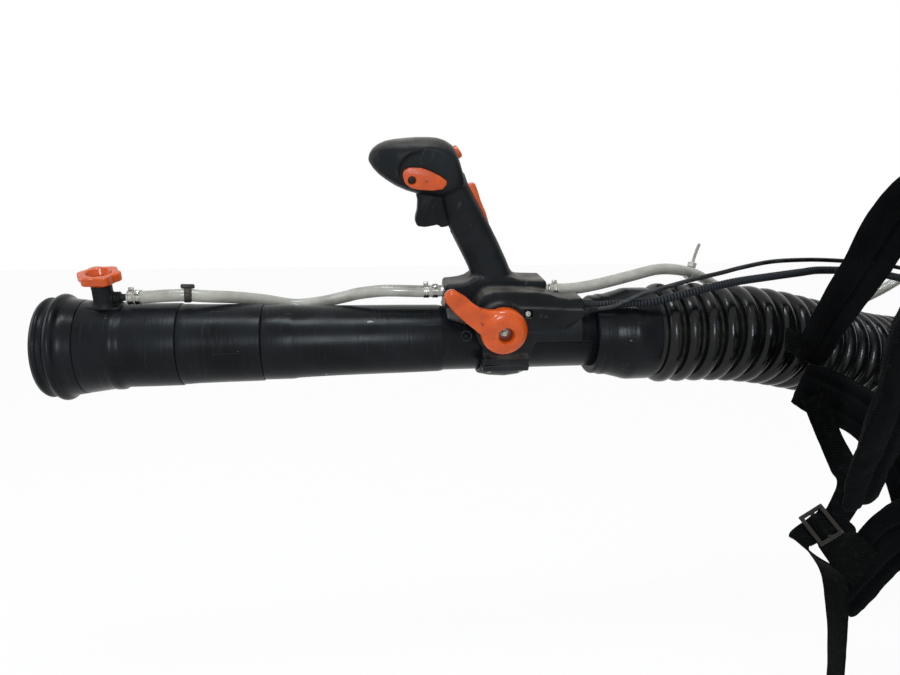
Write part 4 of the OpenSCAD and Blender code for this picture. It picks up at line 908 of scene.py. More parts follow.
class BLOWER_OT_pleated_hose(bpy.types.Operator):
    """Makes the pleated hose in two stretches, a front and a rear one"""
    bl_idname = "blower.pleated_hose"
    bl_label = "Pleated hose"

    def execute(self, context):
        sizes = context.scene.blower_sizes
        line = smooth(HOSE_ROUTE, 12)
        length = line_length(line)
        sleeve, sleeve_radius, collar_radius = 0.027, 0.0458, 0.049
        pitch = (length - 2 * sleeve) / sizes.rib_count
        depth = sizes.rib_radius - sizes.valley_radius
        crest = [0.05, 0.07, 0.10, 0.14, 0.19, 0.25, 0.33, 0.43, 0.53, 0.61, 0.68, 0.74, 0.79, 0.83,
                 0.86, 0.89]
        rows = [(at, sleeve_radius) for at in (0.0, 0.012, sleeve - 0.003)]
        for rib in range(sizes.rib_count):
            for share in crest:
                round_off = max(0.0, 1 - abs((share - 0.47) / 0.43) ** 2.4) ** 0.55
                rows.append((sleeve + (rib + share) * pitch, sizes.valley_radius + depth * round_off))
        rows += [(length - sleeve + 0.001, 0.0465), (length - sleeve + 0.004, collar_radius),
                 (length, collar_radius)]
        half = 3 + len(crest) * (sizes.rib_count // 2)
        for name, part in (("hose_front", rows[:half + 1]), ("hose_rear", rows[half:])):
            piece = swept(name, along(line, [s for s, r in part]), [r for s, r in part], 56, capped=False)
            modify(piece, "SOLIDIFY", thickness=sizes.hose_wall, offset=-1)
            dress(piece, hose_rubber)
            flexes(piece, name == "hose_front")
            if name == "hose_front":
                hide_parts("pleated_hose")
        return {"FINISHED"}


def cord_pair(name, node, route, radii_of, kind, sides, wall=0.0):
    """A cord over both of the hose's bends: two stretches that meet."""
    front, rear = split_route(smooth(route, 6))
    for part_name, line, is_front in ((name + "_front", front, True), (name + "_rear", rear, False)):
        line, radii = radii_of(line)
        piece = swept(part_name, line, radii, sides, capped=not wall)
        if wall:
            modify(piece, "SOLIDIFY", thickness=wall, offset=-1)
        dress(piece, kind)
        flexes(piece, is_front)
        if is_front:
            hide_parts(node)


class BLOWER_OT_control_cables(bpy.types.Operator):
    """Makes the throttle cable and the wound conduit of the stop switch's wires"""
    bl_idname = "blower.control_cables"
    bl_label = "Control cables"

    def execute(self, context):
        sizes = context.scene.blower_sizes
        cord_pair("throttle_cable", "throttle_cable", CABLE_ROUTE,
                  lambda line: (line, sizes.cable / 2), cable_vinyl, 16)

        def wound(line):
            """Each turn of the winding is a crest and two hollows."""
            turns = int(line_length(line) / sizes.conduit_pitch)
            step = line_length(line) / turns
            spots = [(i + share) * step for i in range(turns) for share in (0, 0.2, 0.5, 0.8)]
            crest, hollow = sizes.conduit / 2, sizes.conduit / 2 - 0.0008
            radii = [hollow, crest - 0.0002, crest, crest - 0.0002] * turns
            return along(line, spots) + [line[-1]], radii + [hollow]
        cord_pair("throttle_conduit", "throttle_conduit", CONDUIT_ROUTE, wound,
                  wound_steel, 12)
        return {"FINISHED"}


class BLOWER_OT_liquid_hoses(bpy.types.Operator):
    """Makes the clear liquid hoses, their band clamps and the tie"""
    bl_idname = "blower.liquid_hoses"
    bl_label = "Liquid hoses"

    def execute(self, context):
        sizes = context.scene.blower_sizes
        radius, wall = sizes.liquid / 2, 0.0016
        cord_pair("tank_hose", "liquid_hose_rear", REAR_LIQUID_ROUTE,
                  lambda line: (line, radius), clear_vinyl, 24, wall)
        line = smooth(FRONT_LIQUID_ROUTE, 6)
        front = swept("liquid_hose_on_tube", line, radius, 24, capped=False)
        modify(front, "SOLIDIFY", thickness=wall, offset=-1)
        finish(front, clear_vinyl, "blow_tube", "liquid_hose_front", angle=60)
        self.clamps()
        self.tie()
        self.tag()
        return {"FINISHED"}

    def clamps(self):
        """A rolled band with a raised lip on each side and a crimped ear on top."""
        bands = []
        r = bpy.context.scene.blower_sizes.liquid * 500
        places = [(-999, 155.9, 449, 16), (-992.5, 155.9, 449, 16), (-716, 161.1, 450.2, 10),
                  (-707, 161.1, 450.2, 10), (-581, 161.1, 450.2, 10)]
        for i, (x, y, z, roll) in enumerate(places):
            band = turned("band", [(-2.5, r), (-2.5, r + 1), (-1.7, r + 1), (-1.3, r + 0.6),
                                   (1.3, r + 0.6), (1.7, r + 1), (2.5, r + 1), (2.5, r)], 48)
            ear = plate("ear", [(-1.9, r + 0.4), (-2.4, r + 2.8), (-1, r + 3.6), (1, r + 3.6),
                                (2.4, r + 2.8), (1.9, r + 0.4)], "yz", -2.3, 2.3)
            soften(ear, 0.4)
            clamp = joined("clamp", [band, ear])
            clamp.rotation_euler = (math.radians(roll + (35 if i % 2 else -20)), 0, 0)
            clamp.location = mm(x, y, z)
            bands.append(settle(clamp))
        clamps = joined("hose_bands", bands)
        finish(clamps, zinc_steel, "blow_tube", "hose_clamps")

    def tie(self):
        """A nylon tie: strap, ratchet head and the cut tail that stands up."""
        strap = turned("strap", [(-2.4, 6.2), (-2.4, 7.6), (2.4, 7.6), (2.4, 6.2)], 48)
        head = soften(box("head", (-3.6, -4.2, 6.9), (3.6, 3.2, 12.6)), 0.9, 3)
        tail = soften(box("tail", (-2.3, -1.6, 12.0), (2.3, -0.2, 34.5)), 0.4)
        edit(tail)
        bpy.ops.mesh.subdivide(number_cuts=6)
        leave_edit()
        for v in tail.data.vertices:
            rise = max(0.0, v.co.z - 0.014)
            v.co.y -= 6.0 * rise * rise
        tie = joined("hose_tie", [strap, head, tail])
        tie.rotation_euler = (0, math.radians(18), math.radians(28))
        tie.location = mm(-410, 203, 462)
        settle(tie)
        dress(tie, clear_vinyl)
        flexes(tie, True)
        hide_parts("cable_tie")

    def tag(self):
        """The lump of old tie on the front hose."""
        wrap = turned("wrap", [(-3.5, 6), (-3.5, 6.6), (-2.0, 7.2), (2.0, 7.2), (3.5, 6.6), (3.5, 6)], 32)
        lump = soften(box("lump", (-6.5, -2.6, 6.4), (6.5, 2.6, 10.8)), 1.6, 3)
        tag = joined("hose_tag", [wrap, lump])
        tag.rotation_euler = (math.radians(-12), math.radians(3), math.radians(14))
        tag.location = Vector(FRONT_LIQUID_ROUTE[4])
        settle(tag)
        finish(tag, acetal, "blow_tube")


class BLOWER_OT_starter_rope(bpy.types.Operator):
    """Makes the starter's rope, from its grip to the reel it is wound on"""
    bl_idname = "blower.starter_rope"
    bl_label = "Starter rope"

    def execute(self, context):
        sizes = context.scene.blower_sizes
        rope_low, rope_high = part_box("starter_rope")
        grip_low, grip_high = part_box("starter_grip")
        reel_low, reel_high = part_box("starter_reel")
        hub = (reel_low + reel_high) / 2
        leaves = Vector(((rope_low.x + rope_high.x) / 2, hub.y, (grip_low.z + grip_high.z) / 2))
        held = Vector((leaves.x, grip_high.y, leaves.z))
        lead = [leaves.lerp(held + Vector((0, -0.006, 0)), i / 24) for i in range(25)]
        rope = self.length_of("starter_rope_lead", lead, "loose", sizes.rope)
        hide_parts("starter_rope")
        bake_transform(rope)
        coil = [hub + Vector((x, -r * math.sin(turn), r * math.cos(turn)))
                for turn, x, r in self.winding(leaves.z - hub.z, leaves.x - hub.x, sizes.rope)]
        rope = self.length_of("starter_rope_wound", coil, "coiled", sizes.rope)
        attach(rope, "starter_reel")
        self.reel(hub * 1000)
        return {"FINISHED"}

    def length_of(self, name, line, lay, diameter):
        rope = dress(swept(name, line, diameter / 2, 12), braided_nylon)
        return rope

    def winding(self, outer, start, diameter):
        """Stations of the wound rope, three layers deep: its turn, its place across the reel and its
        radius."""
        pitch, drop = diameter + 0.0002, 0.12 * math.tau
        reach = 0.0098 / 2 - diameter / 2
        stations = []
        turn, x, way = 0.0, start, 1
        for layer in range(3):
            first = turn
            while abs(x) <= reach or x * way < 0:
                sunk = layer - 1 + min(1.0, (turn - first) / drop) if layer else 0
                stations.append((-turn, x, outer - pitch * sunk))
                turn += math.tau / 36
                x += way * pitch / 36
            x, way = way * reach, -way
        return stations

    def reel(self, hub):
        """Turns the reel: two cheeks, and a core that leaves room for the rope."""
        half, groove, rim, core, bore = 8, 5, 40, 26.6, 6.4
        reel = turned("starter_pulley", [(-half, bore), (-half, rim), (-groove, rim), (-groove, core),
                                         (groove, core), (groove, rim), (half, rim), (half, bore)])
        soften(stand(reel, hub, (1, 0, 0)), 0.6)
        finish(reel, grey_polyamide, "starter_reel", "starter_reel")


# ---------------------------------------------------------------- blow tube


class BLOWER_OT_blow_tube(bpy.types.Operator):
    """Turns the sections of the blow tube and its nozzle"""
    bl_idname = "blower.blow_tube"
    bl_label = "Blow tube"

    def execute(self, context):
        for make in (self.rim, self.nozzle, self.extension, self.main, self.cuff):
            piece, node = make()
            finish(seat(piece), blown_polyethylene, "blow_tube", node, angle=30)
        insert = self.insert()
        finish(seat(insert, VALVE_ROLL), grey_polyamide, "blow_tube", "spray_insert")
        return {"FINISHED"}

    def rim(self):
        """The mouth: a thin lip, a slim bead and a fat rolled one, and a slot in the seam."""
        lip = [(-1081.4, 43.5), (-1082, 44.4), (-1081.8, 46.4)]
        slim = arc((-1078, 45.6), 2.8, 150, 25, 6)
        fat = arc((-1065, 47), 4.8, 165, 20, 10)
        body = [(-1058.6, 47.4), (-1054, 46.7), (-1046.6, 45.7), (-1046, 45.1), (-1046, 43.5)]
        rim = turned("mouth_rim", lip + slim + [(-1073.4, 45.9), (-1071.4, 46.2)] + fat + body, 128)
        return soften(rim, 0.3, 2, 40), "nozzle_rim"

    def nozzle(self):
        """The cone behind the mouth, its step, and the seat of the next tube."""
        nozzle = turned("nozzle_cone", [
            (-1045.9, 42.9), (-1045.9, 44.8), (-1045.3, 45.4), (-1021, 42.5), (-1019.6, 42.9),
            (-1018, 43.3), (-1015, 43.2), (-1012, 42.8), (-1009.5, 41.2), (-1006, 41.0), (-985, 41.1),
            (-957.8, 41), (-957, 40.3), (-957, 38.6), (-1012, 38.5)], 128)
        return soften(nozzle, 0.3, 2, 40), "nozzle_body"

    def extension(self):
        extension = turned("extension_sleeve", [
            (-975, 35.9), (-975, 38.2), (-957.6, 38.2), (-956.9, 39.3), (-956.3, 40), (-951, 40),
            (-943, 39.5), (-910, 39.2), (-880, 39), (-879.1, 38.3), (-879.1, 36.4), (-927, 36)], 128)
        return soften(extension, 0.3, 2, 40), "extension_tube"

    def main(self):
        """The long tube with its collar, and the small ring mark raised on its side."""
        tube = turned("main_tube_skin", [
            (-893, 33.4), (-893, 35.8), (-879.4, 35.8), (-879, 37.2), (-878.2, 38), (-852, 38),
            (-849, 37.8), (-846, 37.2), (-830, 36.6), (-805, 36), (-740, 35.4), (-704, 34.8),
            (-700.5, 34.3), (-699, 33.5), (-519, 33.5), (-519, 31), (-700, 31), (-740, 32.9),
            (-846, 33.4)], 128)
        soften(tube, 0.3, 2, 40)
        lean = math.radians(10 + 68)
        ring = turned("ring_mark", [(31, 4.2), (33.9, 4.2), (34.2, 4.7), (34.2, 5.6), (33.9, 6),
                                    (31, 6)], 40)
        dot = turned("dot_mark", [(31, 0), (34.0, 0), (34.0, 1.2), (33.8, 1.6), (31, 1.6)], 24)
        out = Vector((0, -math.sin(lean), math.cos(lean)))
        marks = [stand(mark, (-678, 0, 0), out) for mark in (ring, dot)]
        return joined("main_tube_skin", [tube, *marks]), "main_tube"

    def cuff(self):
        """The rubber cuff: a band, a step, a cone and the collar that holds the hose."""
        cuff = turned("cuff_skin", [
            (-541, 33.6), (-541, 40.2), (-540.4, 41), (-539, 42), (-531.6, 42.4), (-530.8, 43.2),
            (-530, 43.4), (-522.4, 43.6), (-521, 44), (-505, 48.2), (-503.6, 48.9), (-500, 49.5),
            (-497, 49.6), (-478, 49.6), (-475.8, 49.2), (-475, 48.4), (-475, 46.4), (-499, 46.4),
            (-505, 41), (-518.8, 38), (-518.8, 33.6)], 128)
        return soften(cuff, 0.4, 2, 30), "hose_cuff"

    def insert(self):
        """The spray head inside the nozzle: a bullet on four vanes."""
        bullet = turned("bullet", [(-1045, 0), (-1044, 3), (-1042, 5), (-1037, 8.6), (-1032, 12),
                                   (-1026, 13.5), (-1020, 14), (-996, 14), (-991, 12.4), (-988, 10),
                                   (-985, 4), (-984, 0)], 64)
        vanes = []
        for i in range(4):
            vane = soften(box("vane", (-1008, 10, -1.2), (-992, 38.3, 1.2)), 0.5)
            vane.rotation_euler = (math.radians(45 + 90 * i), 0, 0)
            vanes.append(settle(vane))
        pin_hole = drum("pin_hole", 5.1, 4, 64, (-1024, 0, 0), (0, 0, 1))
        return soften(cut(joined("spray_head", [bullet, *vanes]), pin_hole), 0.3)


class BLOWER_OT_metering_valve(bpy.types.Operator):
    """Makes the metering valve on the nozzle, with its lobed knob"""
    bl_idname = "blower.metering_valve"
    bl_label = "Metering valve"

    VALVE_X = -1024

    def execute(self, context):
        self.valve()
        self.knob()
        return {"FINISHED"}

    def valve(self):
        """A stem on a flared foot, and the ribbed coupling for the hose."""
        x = self.VALVE_X
        stem = turned("stem", [(43.4, 0), (43.4, 11.6), (44.4, 11.2), (46.5, 9.9), (49, 9.4), (60, 9.2),
                               (64, 9.4), (64.5, 9.0), (64.5, 4.05), (46, 4.05), (46, 0)], 64)
        stand(stem, (x, 0, 0), (0, 0, 1))
        pin = drum("pin", 5, 14.5, 44, (x, 0, 0), (0, 0, 1))
        foot = soften(box("foot", (x - 17, -9, 40.0), (x + 15, 9, 44.6)), 2.2, 3)
        ribs = [(x + 9.4 + 2.1 * i + step, reach) for i in range(3)
                for step, reach in ((0, 5.0), (0.5, 5.7), (1.5, 5.7), (1.9, 5.0))]
        pipe = turned("coupling", [(x + 6, 2), (x + 6, 6.2), (x + 9, 6.2), *ribs, (x + 16, 3.6),
                                   (x + 21, 3.3), (x + 21, 2)], 48)
        pipe.location = mm(0, 0, 51)
        settle(pipe)
        cone = turned("cone_room", [(-1060, 0), (-1060, 46.8), (-1046, 45.6), (-1018, 42.4),
                                    (-1017, 43.4), (-1008, 43.0), (-1006, 41.2), (-990, 41.2),
                                    (-990, 0)], 96)
        pin_room = drum("pin_room", 5, 4, 60, (x, 0, 0), (0, 0, 1))
        cut(cone, pin_room)
        cut(foot, cone)
        valve = joined("metering_stem", [stem, pin, foot, soften(pipe, 0.2)])
        finish(seat(valve, VALVE_ROLL), housing_polymer, "blow_tube", "metering_valve")

    def knob(self):
        """Six lobes, a dished top and a skirt that narrows to the stem."""
        x = self.VALVE_X
        count = 96
        rim = []
        for i in range(count):
            turn = math.tau * i / count
            reach = 16.4 + 3.0 * abs(math.cos(3 * turn)) ** 1.6
            rim.append((x + reach * math.cos(turn), reach * math.sin(turn)))
        lobes = soften(plate("lobes", rim, "xy", 68.6, 76.6), 1.1, 3, 40)
        skirt = turned("skirt", [(64.9, 0), (64.9, 9.6), (65.3, 10.4), (66.6, 13), (68.2, 15.4),
                                 (69.8, 16.2), (70.8, 16.2), (70.8, 0)], 64)
        stand(skirt, (x, 0, 0), (0, 0, 1))
        spindle = drum("spindle", 4, 46.5, 67, (x, 0, 0), (0, 0, 1))
        dish = turned("dish", [(69.8, 0), (69.8, 9.4), (70.8, 10.2), (76.0, 11.2), (77.2, 12.2),
                               (78, 12.2), (78, 0)], 64)
        stand(dish, (x, 0, 0), (0, 0, 1))
        cut(lobes, dish)
        dish_of_skirt = drum("dish_of_skirt", 9.4, 69.8, 73, (x, 0, 0), (0, 0, 1))
        cut(skirt, dish_of_skirt)
        core = drum("core", 3.6, 69, 72.2, (x, 0, 0), (0, 0, 1), 0.5)
        knob = joined("metering_knob_lobed", [soften(lobes, 0.35, 2, 50), skirt, spindle, core])
        finish(seat(knob, VALVE_ROLL), orange_polyamide, "metering_knob", "metering_knob")


# ---------------------------------------------------------------- handle


class BLOWER_OT_handle(bpy.types.Operator):
    """Models the pistol grip, its hooded head and the saddle as one soft moulding, then parts them"""
    bl_idname = "blower.handle"
    bl_label = "Handle and saddle"

    # Grip: level, front and back edge; head: place, top, bottom and half width
    GRIP = [(50, -672, -612), (58, -672, -616), (62, -676, -617), (66, -673.5, -621), (70, -671.5, -627),
            (75, -673, -631), (84, -677.5, -635), (100, -686, -643), (117, -695, -652),
            (135, -701, -662.5), (150, -704, -671.5), (160, -703, -677), (170, -700, -681)]
    HEAD = [(-772.3, 182, 180, 1), (-771, 186.5, 177.5, 6), (-768, 191, 173, 11.5),
            (-763, 194.8, 167.7, 16), (-756, 197.8, 162.5, 20), (-747, 199.6, 157.1, 23),
            (-737, 200.8, 152.8, 24.6), (-727, 201.6, 150, 25), (-717, 201.8, 148.5, 25),
            (-707, 201.2, 147, 24.6), (-700, 199.3, 147, 24), (-694, 195.8, 148, 23),
            (-690, 190.5, 150, 22), (-686.5, 181.5, 152, 20.5), (-683, 170, 154, 18.5)]
    POCKET = [(-696.6, 191.1), (-706.9, 192.7), (-718.5, 193.4), (-733.6, 188.8), (-739.2, 184.7),
              (-743.7, 179.1), (-745.6, 173.5), (-744.9, 166.7), (-743.8, 160.8), (-742, 136),
              (-668, 136), (-672, 158), (-680, 172), (-688, 187)]
    FOOT = [(-698, 28), (-698, 61.6), (-690, 62), (-682, 63), (-675, 65), (-668, 70), (-632, 70),
            (-626, 67.6), (-620, 66), (-610, 65.6), (-597, 65.4), (-594, 62.5), (-595, 44), (-600, 30)]
    SIDE = [(-668.9, 12), (-671, 30), (-670.5, 40), (-668.9, 45.2), (-666.3, 50.3), (-661.5, 56.2),
            (-654.3, 58.8), (-645.3, 59.1), (-625, 58.6), (-608.5, 57.9), (-595.1, 55.2), (-585.8, 51.6),
            (-575.3, 50.2), (-562.3, 51.2), (-558, 46), (-557.5, 36), (-600, 14), (-640, 0)]
    WING = [(-654, 30), (-652.5, 40.7), (-646.3, 42.4), (-628.7, 42.9), (-600, 41.6), (-573.5, 39.7),
            (-561, 39.4), (-557.5, 36.5), (-558.5, 31.5), (-571, 25.2), (-583, 17), (-596, 8), (-640, 2)]
    SLEEVE = [(-698, 30), (-680, 25), (-662, 21), (-662, -12), (-612, -12), (-608, 6), (-540, 6),
              (-540, 70), (-698, 70)]

    def execute(self, context):
        whole = moulded("handle_moulding", [self.head(), self.grip(), *self.saddle()], 1.15, 4)
        self.slots(whole)
        saddle = halved(whole, "saddle_moulding", mm(0, 0, 65.1), (0, 0, -1))
        right = halved(whole, "handle_right_moulding", (0, 0, 0), (0, 1, 0))
        left = named(whole, "handle_left_moulding")
        for x, z, start in ((-659, 90, 12), (-679, 130, 12), (-725, 178, 18)):
            cut(right, drum("well", 3.8, start, 30, (x, 0, z), (0, 1, 0)))
        self.bore(saddle)
        for piece, node in ((left, "handle_left"), (right, "handle_right"), (saddle, "handle_saddle")):
            finish(seat(piece, HANDLE_ROLL), moulded_polyamide, "blow_tube", node, angle=42)
        self.clamp()
        self.fittings()
        return {"FINISHED"}

    def grip(self):
        stations = [(z, ((front + back) / 2, 0), ((back - front) / 2, 17))
                    for z, front, back in self.GRIP]
        return loft("grip", oval(40, 2.6), stations, "z")

    def head(self):
        """The hood, with a flat pocket on each side for the levers."""
        stations = [(x, (0, (top + low) / 2), (half, (top - low) / 2)) for x, top, low, half in self.HEAD]
        head = loft("head", oval(48, 2.9), stations, "x")
        return cut(head, plate("pocket", self.POCKET, "xz", -40, -21.8),
                   plate("pocket", self.POCKET, "xz", 21.8, 40))

    def saddle(self):
        """Foot, sleeve, valve body, side plate, wing and ears of the saddle."""
        foot = soften(plate("foot", self.FOOT, "xz", -17, 17), 3.2, 3, 60)
        sleeve = drum("sleeve", 41.2, -697.5, -558, steps=96)
        sleeve = within(sleeve, plate("limit", self.SLEEVE, "xz", -38, 60))
        body = drum("valve_body", 27, 10, 37.6, (-643, 0, 21.5), (0, -1, 0), 1.5)
        side = soften(plate("side_plate", self.SIDE, "xz", -34.2, -10), 1.0, 2, 60)
        wing = soften(plate("wing", self.WING, "xz", -37.2, -8), 1.2, 2, 60)
        ears = []
        for y in (-46, 36):
            ear = soften(box("ear", (-662, y, 0), (-614, y + 10, 8)), 1.5)
            ear.rotation_euler = (CLAMP_TURN, 0, 0)
            ears.append(settle(ear))
        return foot, sleeve, body, side, wing, *ears

    def slots(self, whole):
        """What is cut sharply after the moulding is soft: the slots and bores."""
        trigger_slot = box("trigger_slot", (-735, -7.5, 112), (-683, 7.5, 162))
        lockout_slot = box("lockout_slot", (-684, -6.2, 108), (-644, 6.2, 159))
        top_slot = box("top_slot", (-716, -4, 196.5), (-701, 4, 206))
        button_bore = drum("button_bore", 6.9, -7, 20, BUTTON_AT, BUTTON_OUT)
        setting_bore = drum("setting_bore", 4.1, -30, -10, (-733, 0, 164.7), (0, 1, 0))
        cut(whole, trigger_slot, lockout_slot, top_slot, button_bore, setting_bore)

    def bore(self, saddle):
        """The tube's bore, the liquid way, the spindle's bore and the slot round the wing's screw."""
        tube = drum("tube_bore", 33.6, -720, -500, steps=128)
        way = drum("liquid_way", 3, -720, -500, (0, 0, 51))
        spindle = drum("spindle_bore", 7.2, 32, 45, (-643, 0, 21.5), (0, -1, 0))
        slot = soften(box("screw_slot", (-621.5, -45, 31.5), (-612.5, -33, 41.2)), 2.5)
        cut(saddle, tube, way, spindle, slot)

    def clamp(self):
        """The lower half of the clamp, bulged for stiffness, on its screws."""
        ring = turned("ring", [(-662, 33.7), (-662, 37.6), (-660, 38.2), (-650, 40.4), (-634, 41.6),
                               (-620, 40), (-615, 38.2), (-614, 37.6), (-614, 33.7)], 96)
        ring = within(ring, box("lower_half", (-700, -60, -60), (-600, 60, -0.5)))
        parts = [soften(ring, 0.8)]
        for low, high in ((-46.5, -35.5), (35.5, 46.5)):
            ear = box("ear", (-662, low, -8.5), (-614, high, -0.5))
            cut(ear, drum("ear_room", 33.7, -700, -600, steps=96))
            parts.append(soften(ear, 1.6, 3))
        clamp = joined("clamp_moulding", parts)
        finish(seat(clamp, HANDLE_ROLL + CLAMP_TURN), moulded_polyamide, "blow_tube", "saddle_clamp")

    def screw(self, radius, thick, foot, direction):
        """A dished cross-recess screw head."""
        head = turned("screw_head", [(0, 0), (0, radius), (thick * 0.55, radius),
                                     (thick * 0.9, radius * 0.8), (thick, radius * 0.45),
                                     (thick * 0.98, 0)], 32)
        for turn in (0, 90):
            arm = box("arm", (thick * 0.45, -radius * 0.55, -radius * 0.13),
                      (thick + 1, radius * 0.55, radius * 0.13))
            arm.rotation_euler = (math.radians(turn + 20), 0, 0)
            cut(head, settle(arm))
        return stand(head, foot, direction)

    def fittings(self):
        """Screws and pins of the handle, and the couplings at both ends of the liquid way."""
        steel = [drum("trigger_pin", 2.4, -21, 21, (-706, 0, 167), (0, 1, 0)),
                 drum("lockout_pin", 1.9, -9, 9, (-655, 0, 112), (0, 1, 0)),
                 self.screw(3.4, 2.6, (-617, -33.2, 36), (0, -1, 0))]
        for spot, y in (((-659, 90), 12), ((-679, 130), 12), ((-725, 178), 18)):
            steel.append(self.screw(3.4, 2.2, (spot[0], y, spot[1]), (0, 1, 0)))
        lean = CLAMP_TURN
        for x in (-654, -622):
            for y in (-41, 41):
                foot = (x, y * math.cos(lean) + 8.4 * math.sin(lean),
                        y * math.sin(lean) - 8.4 * math.cos(lean))
                steel.append(self.screw(3.6, 3, foot, (0, math.sin(lean), -math.cos(lean))))
        screws = joined("handle_fixings", steel)
        finish(seat(screws, HANDLE_ROLL), zinc_steel, "blow_tube", "handle_screws")
        ends = []
        for flip, x in ((1, -595), (-1, -697)):
            nut = soften(turned("nut", [(-1, 2.2), (-1, 6.6), (5.5, 6.6), (5.5, 2.2)], 6), 0.5)
            barb = turned("barb", [(-3, 2.1), (-3, 5), (6.2, 5), (7.4, 3.6), (9, 3.9), (12, 3.5),
                                   (12, 2.1)], 40)
            coupling = joined("coupling", [nut, barb])
            ends.append(stand(coupling, (x, 0, 51), (flip, 0, 0), 0.3))
        couplings = joined("saddle_couplings", ends)
        finish(seat(couplings, HANDLE_ROLL), zinc_steel, "blow_tube")
        ferrules = []
        for route, radius in ((CABLE_ROUTE, 3.4), (CONDUIT_ROUTE, 5.0)):
            out = Vector(route[1]) - Vector(route[0])
            ferrule = turned("ferrule", [(-4, 0), (-4, radius), (6, radius), (6.6, radius - 0.5),
                                         (7.2, radius), (12, radius * 0.92), (13, radius * 0.8),
                                         (13, 0)], 40)
            ferrules.append(stand(ferrule, [v * 1000 for v in route[0]], out))
        sockets = joined("cable_ferrules", ferrules)
        finish(sockets, soft_rubber, "blow_tube", slot="black_handle")


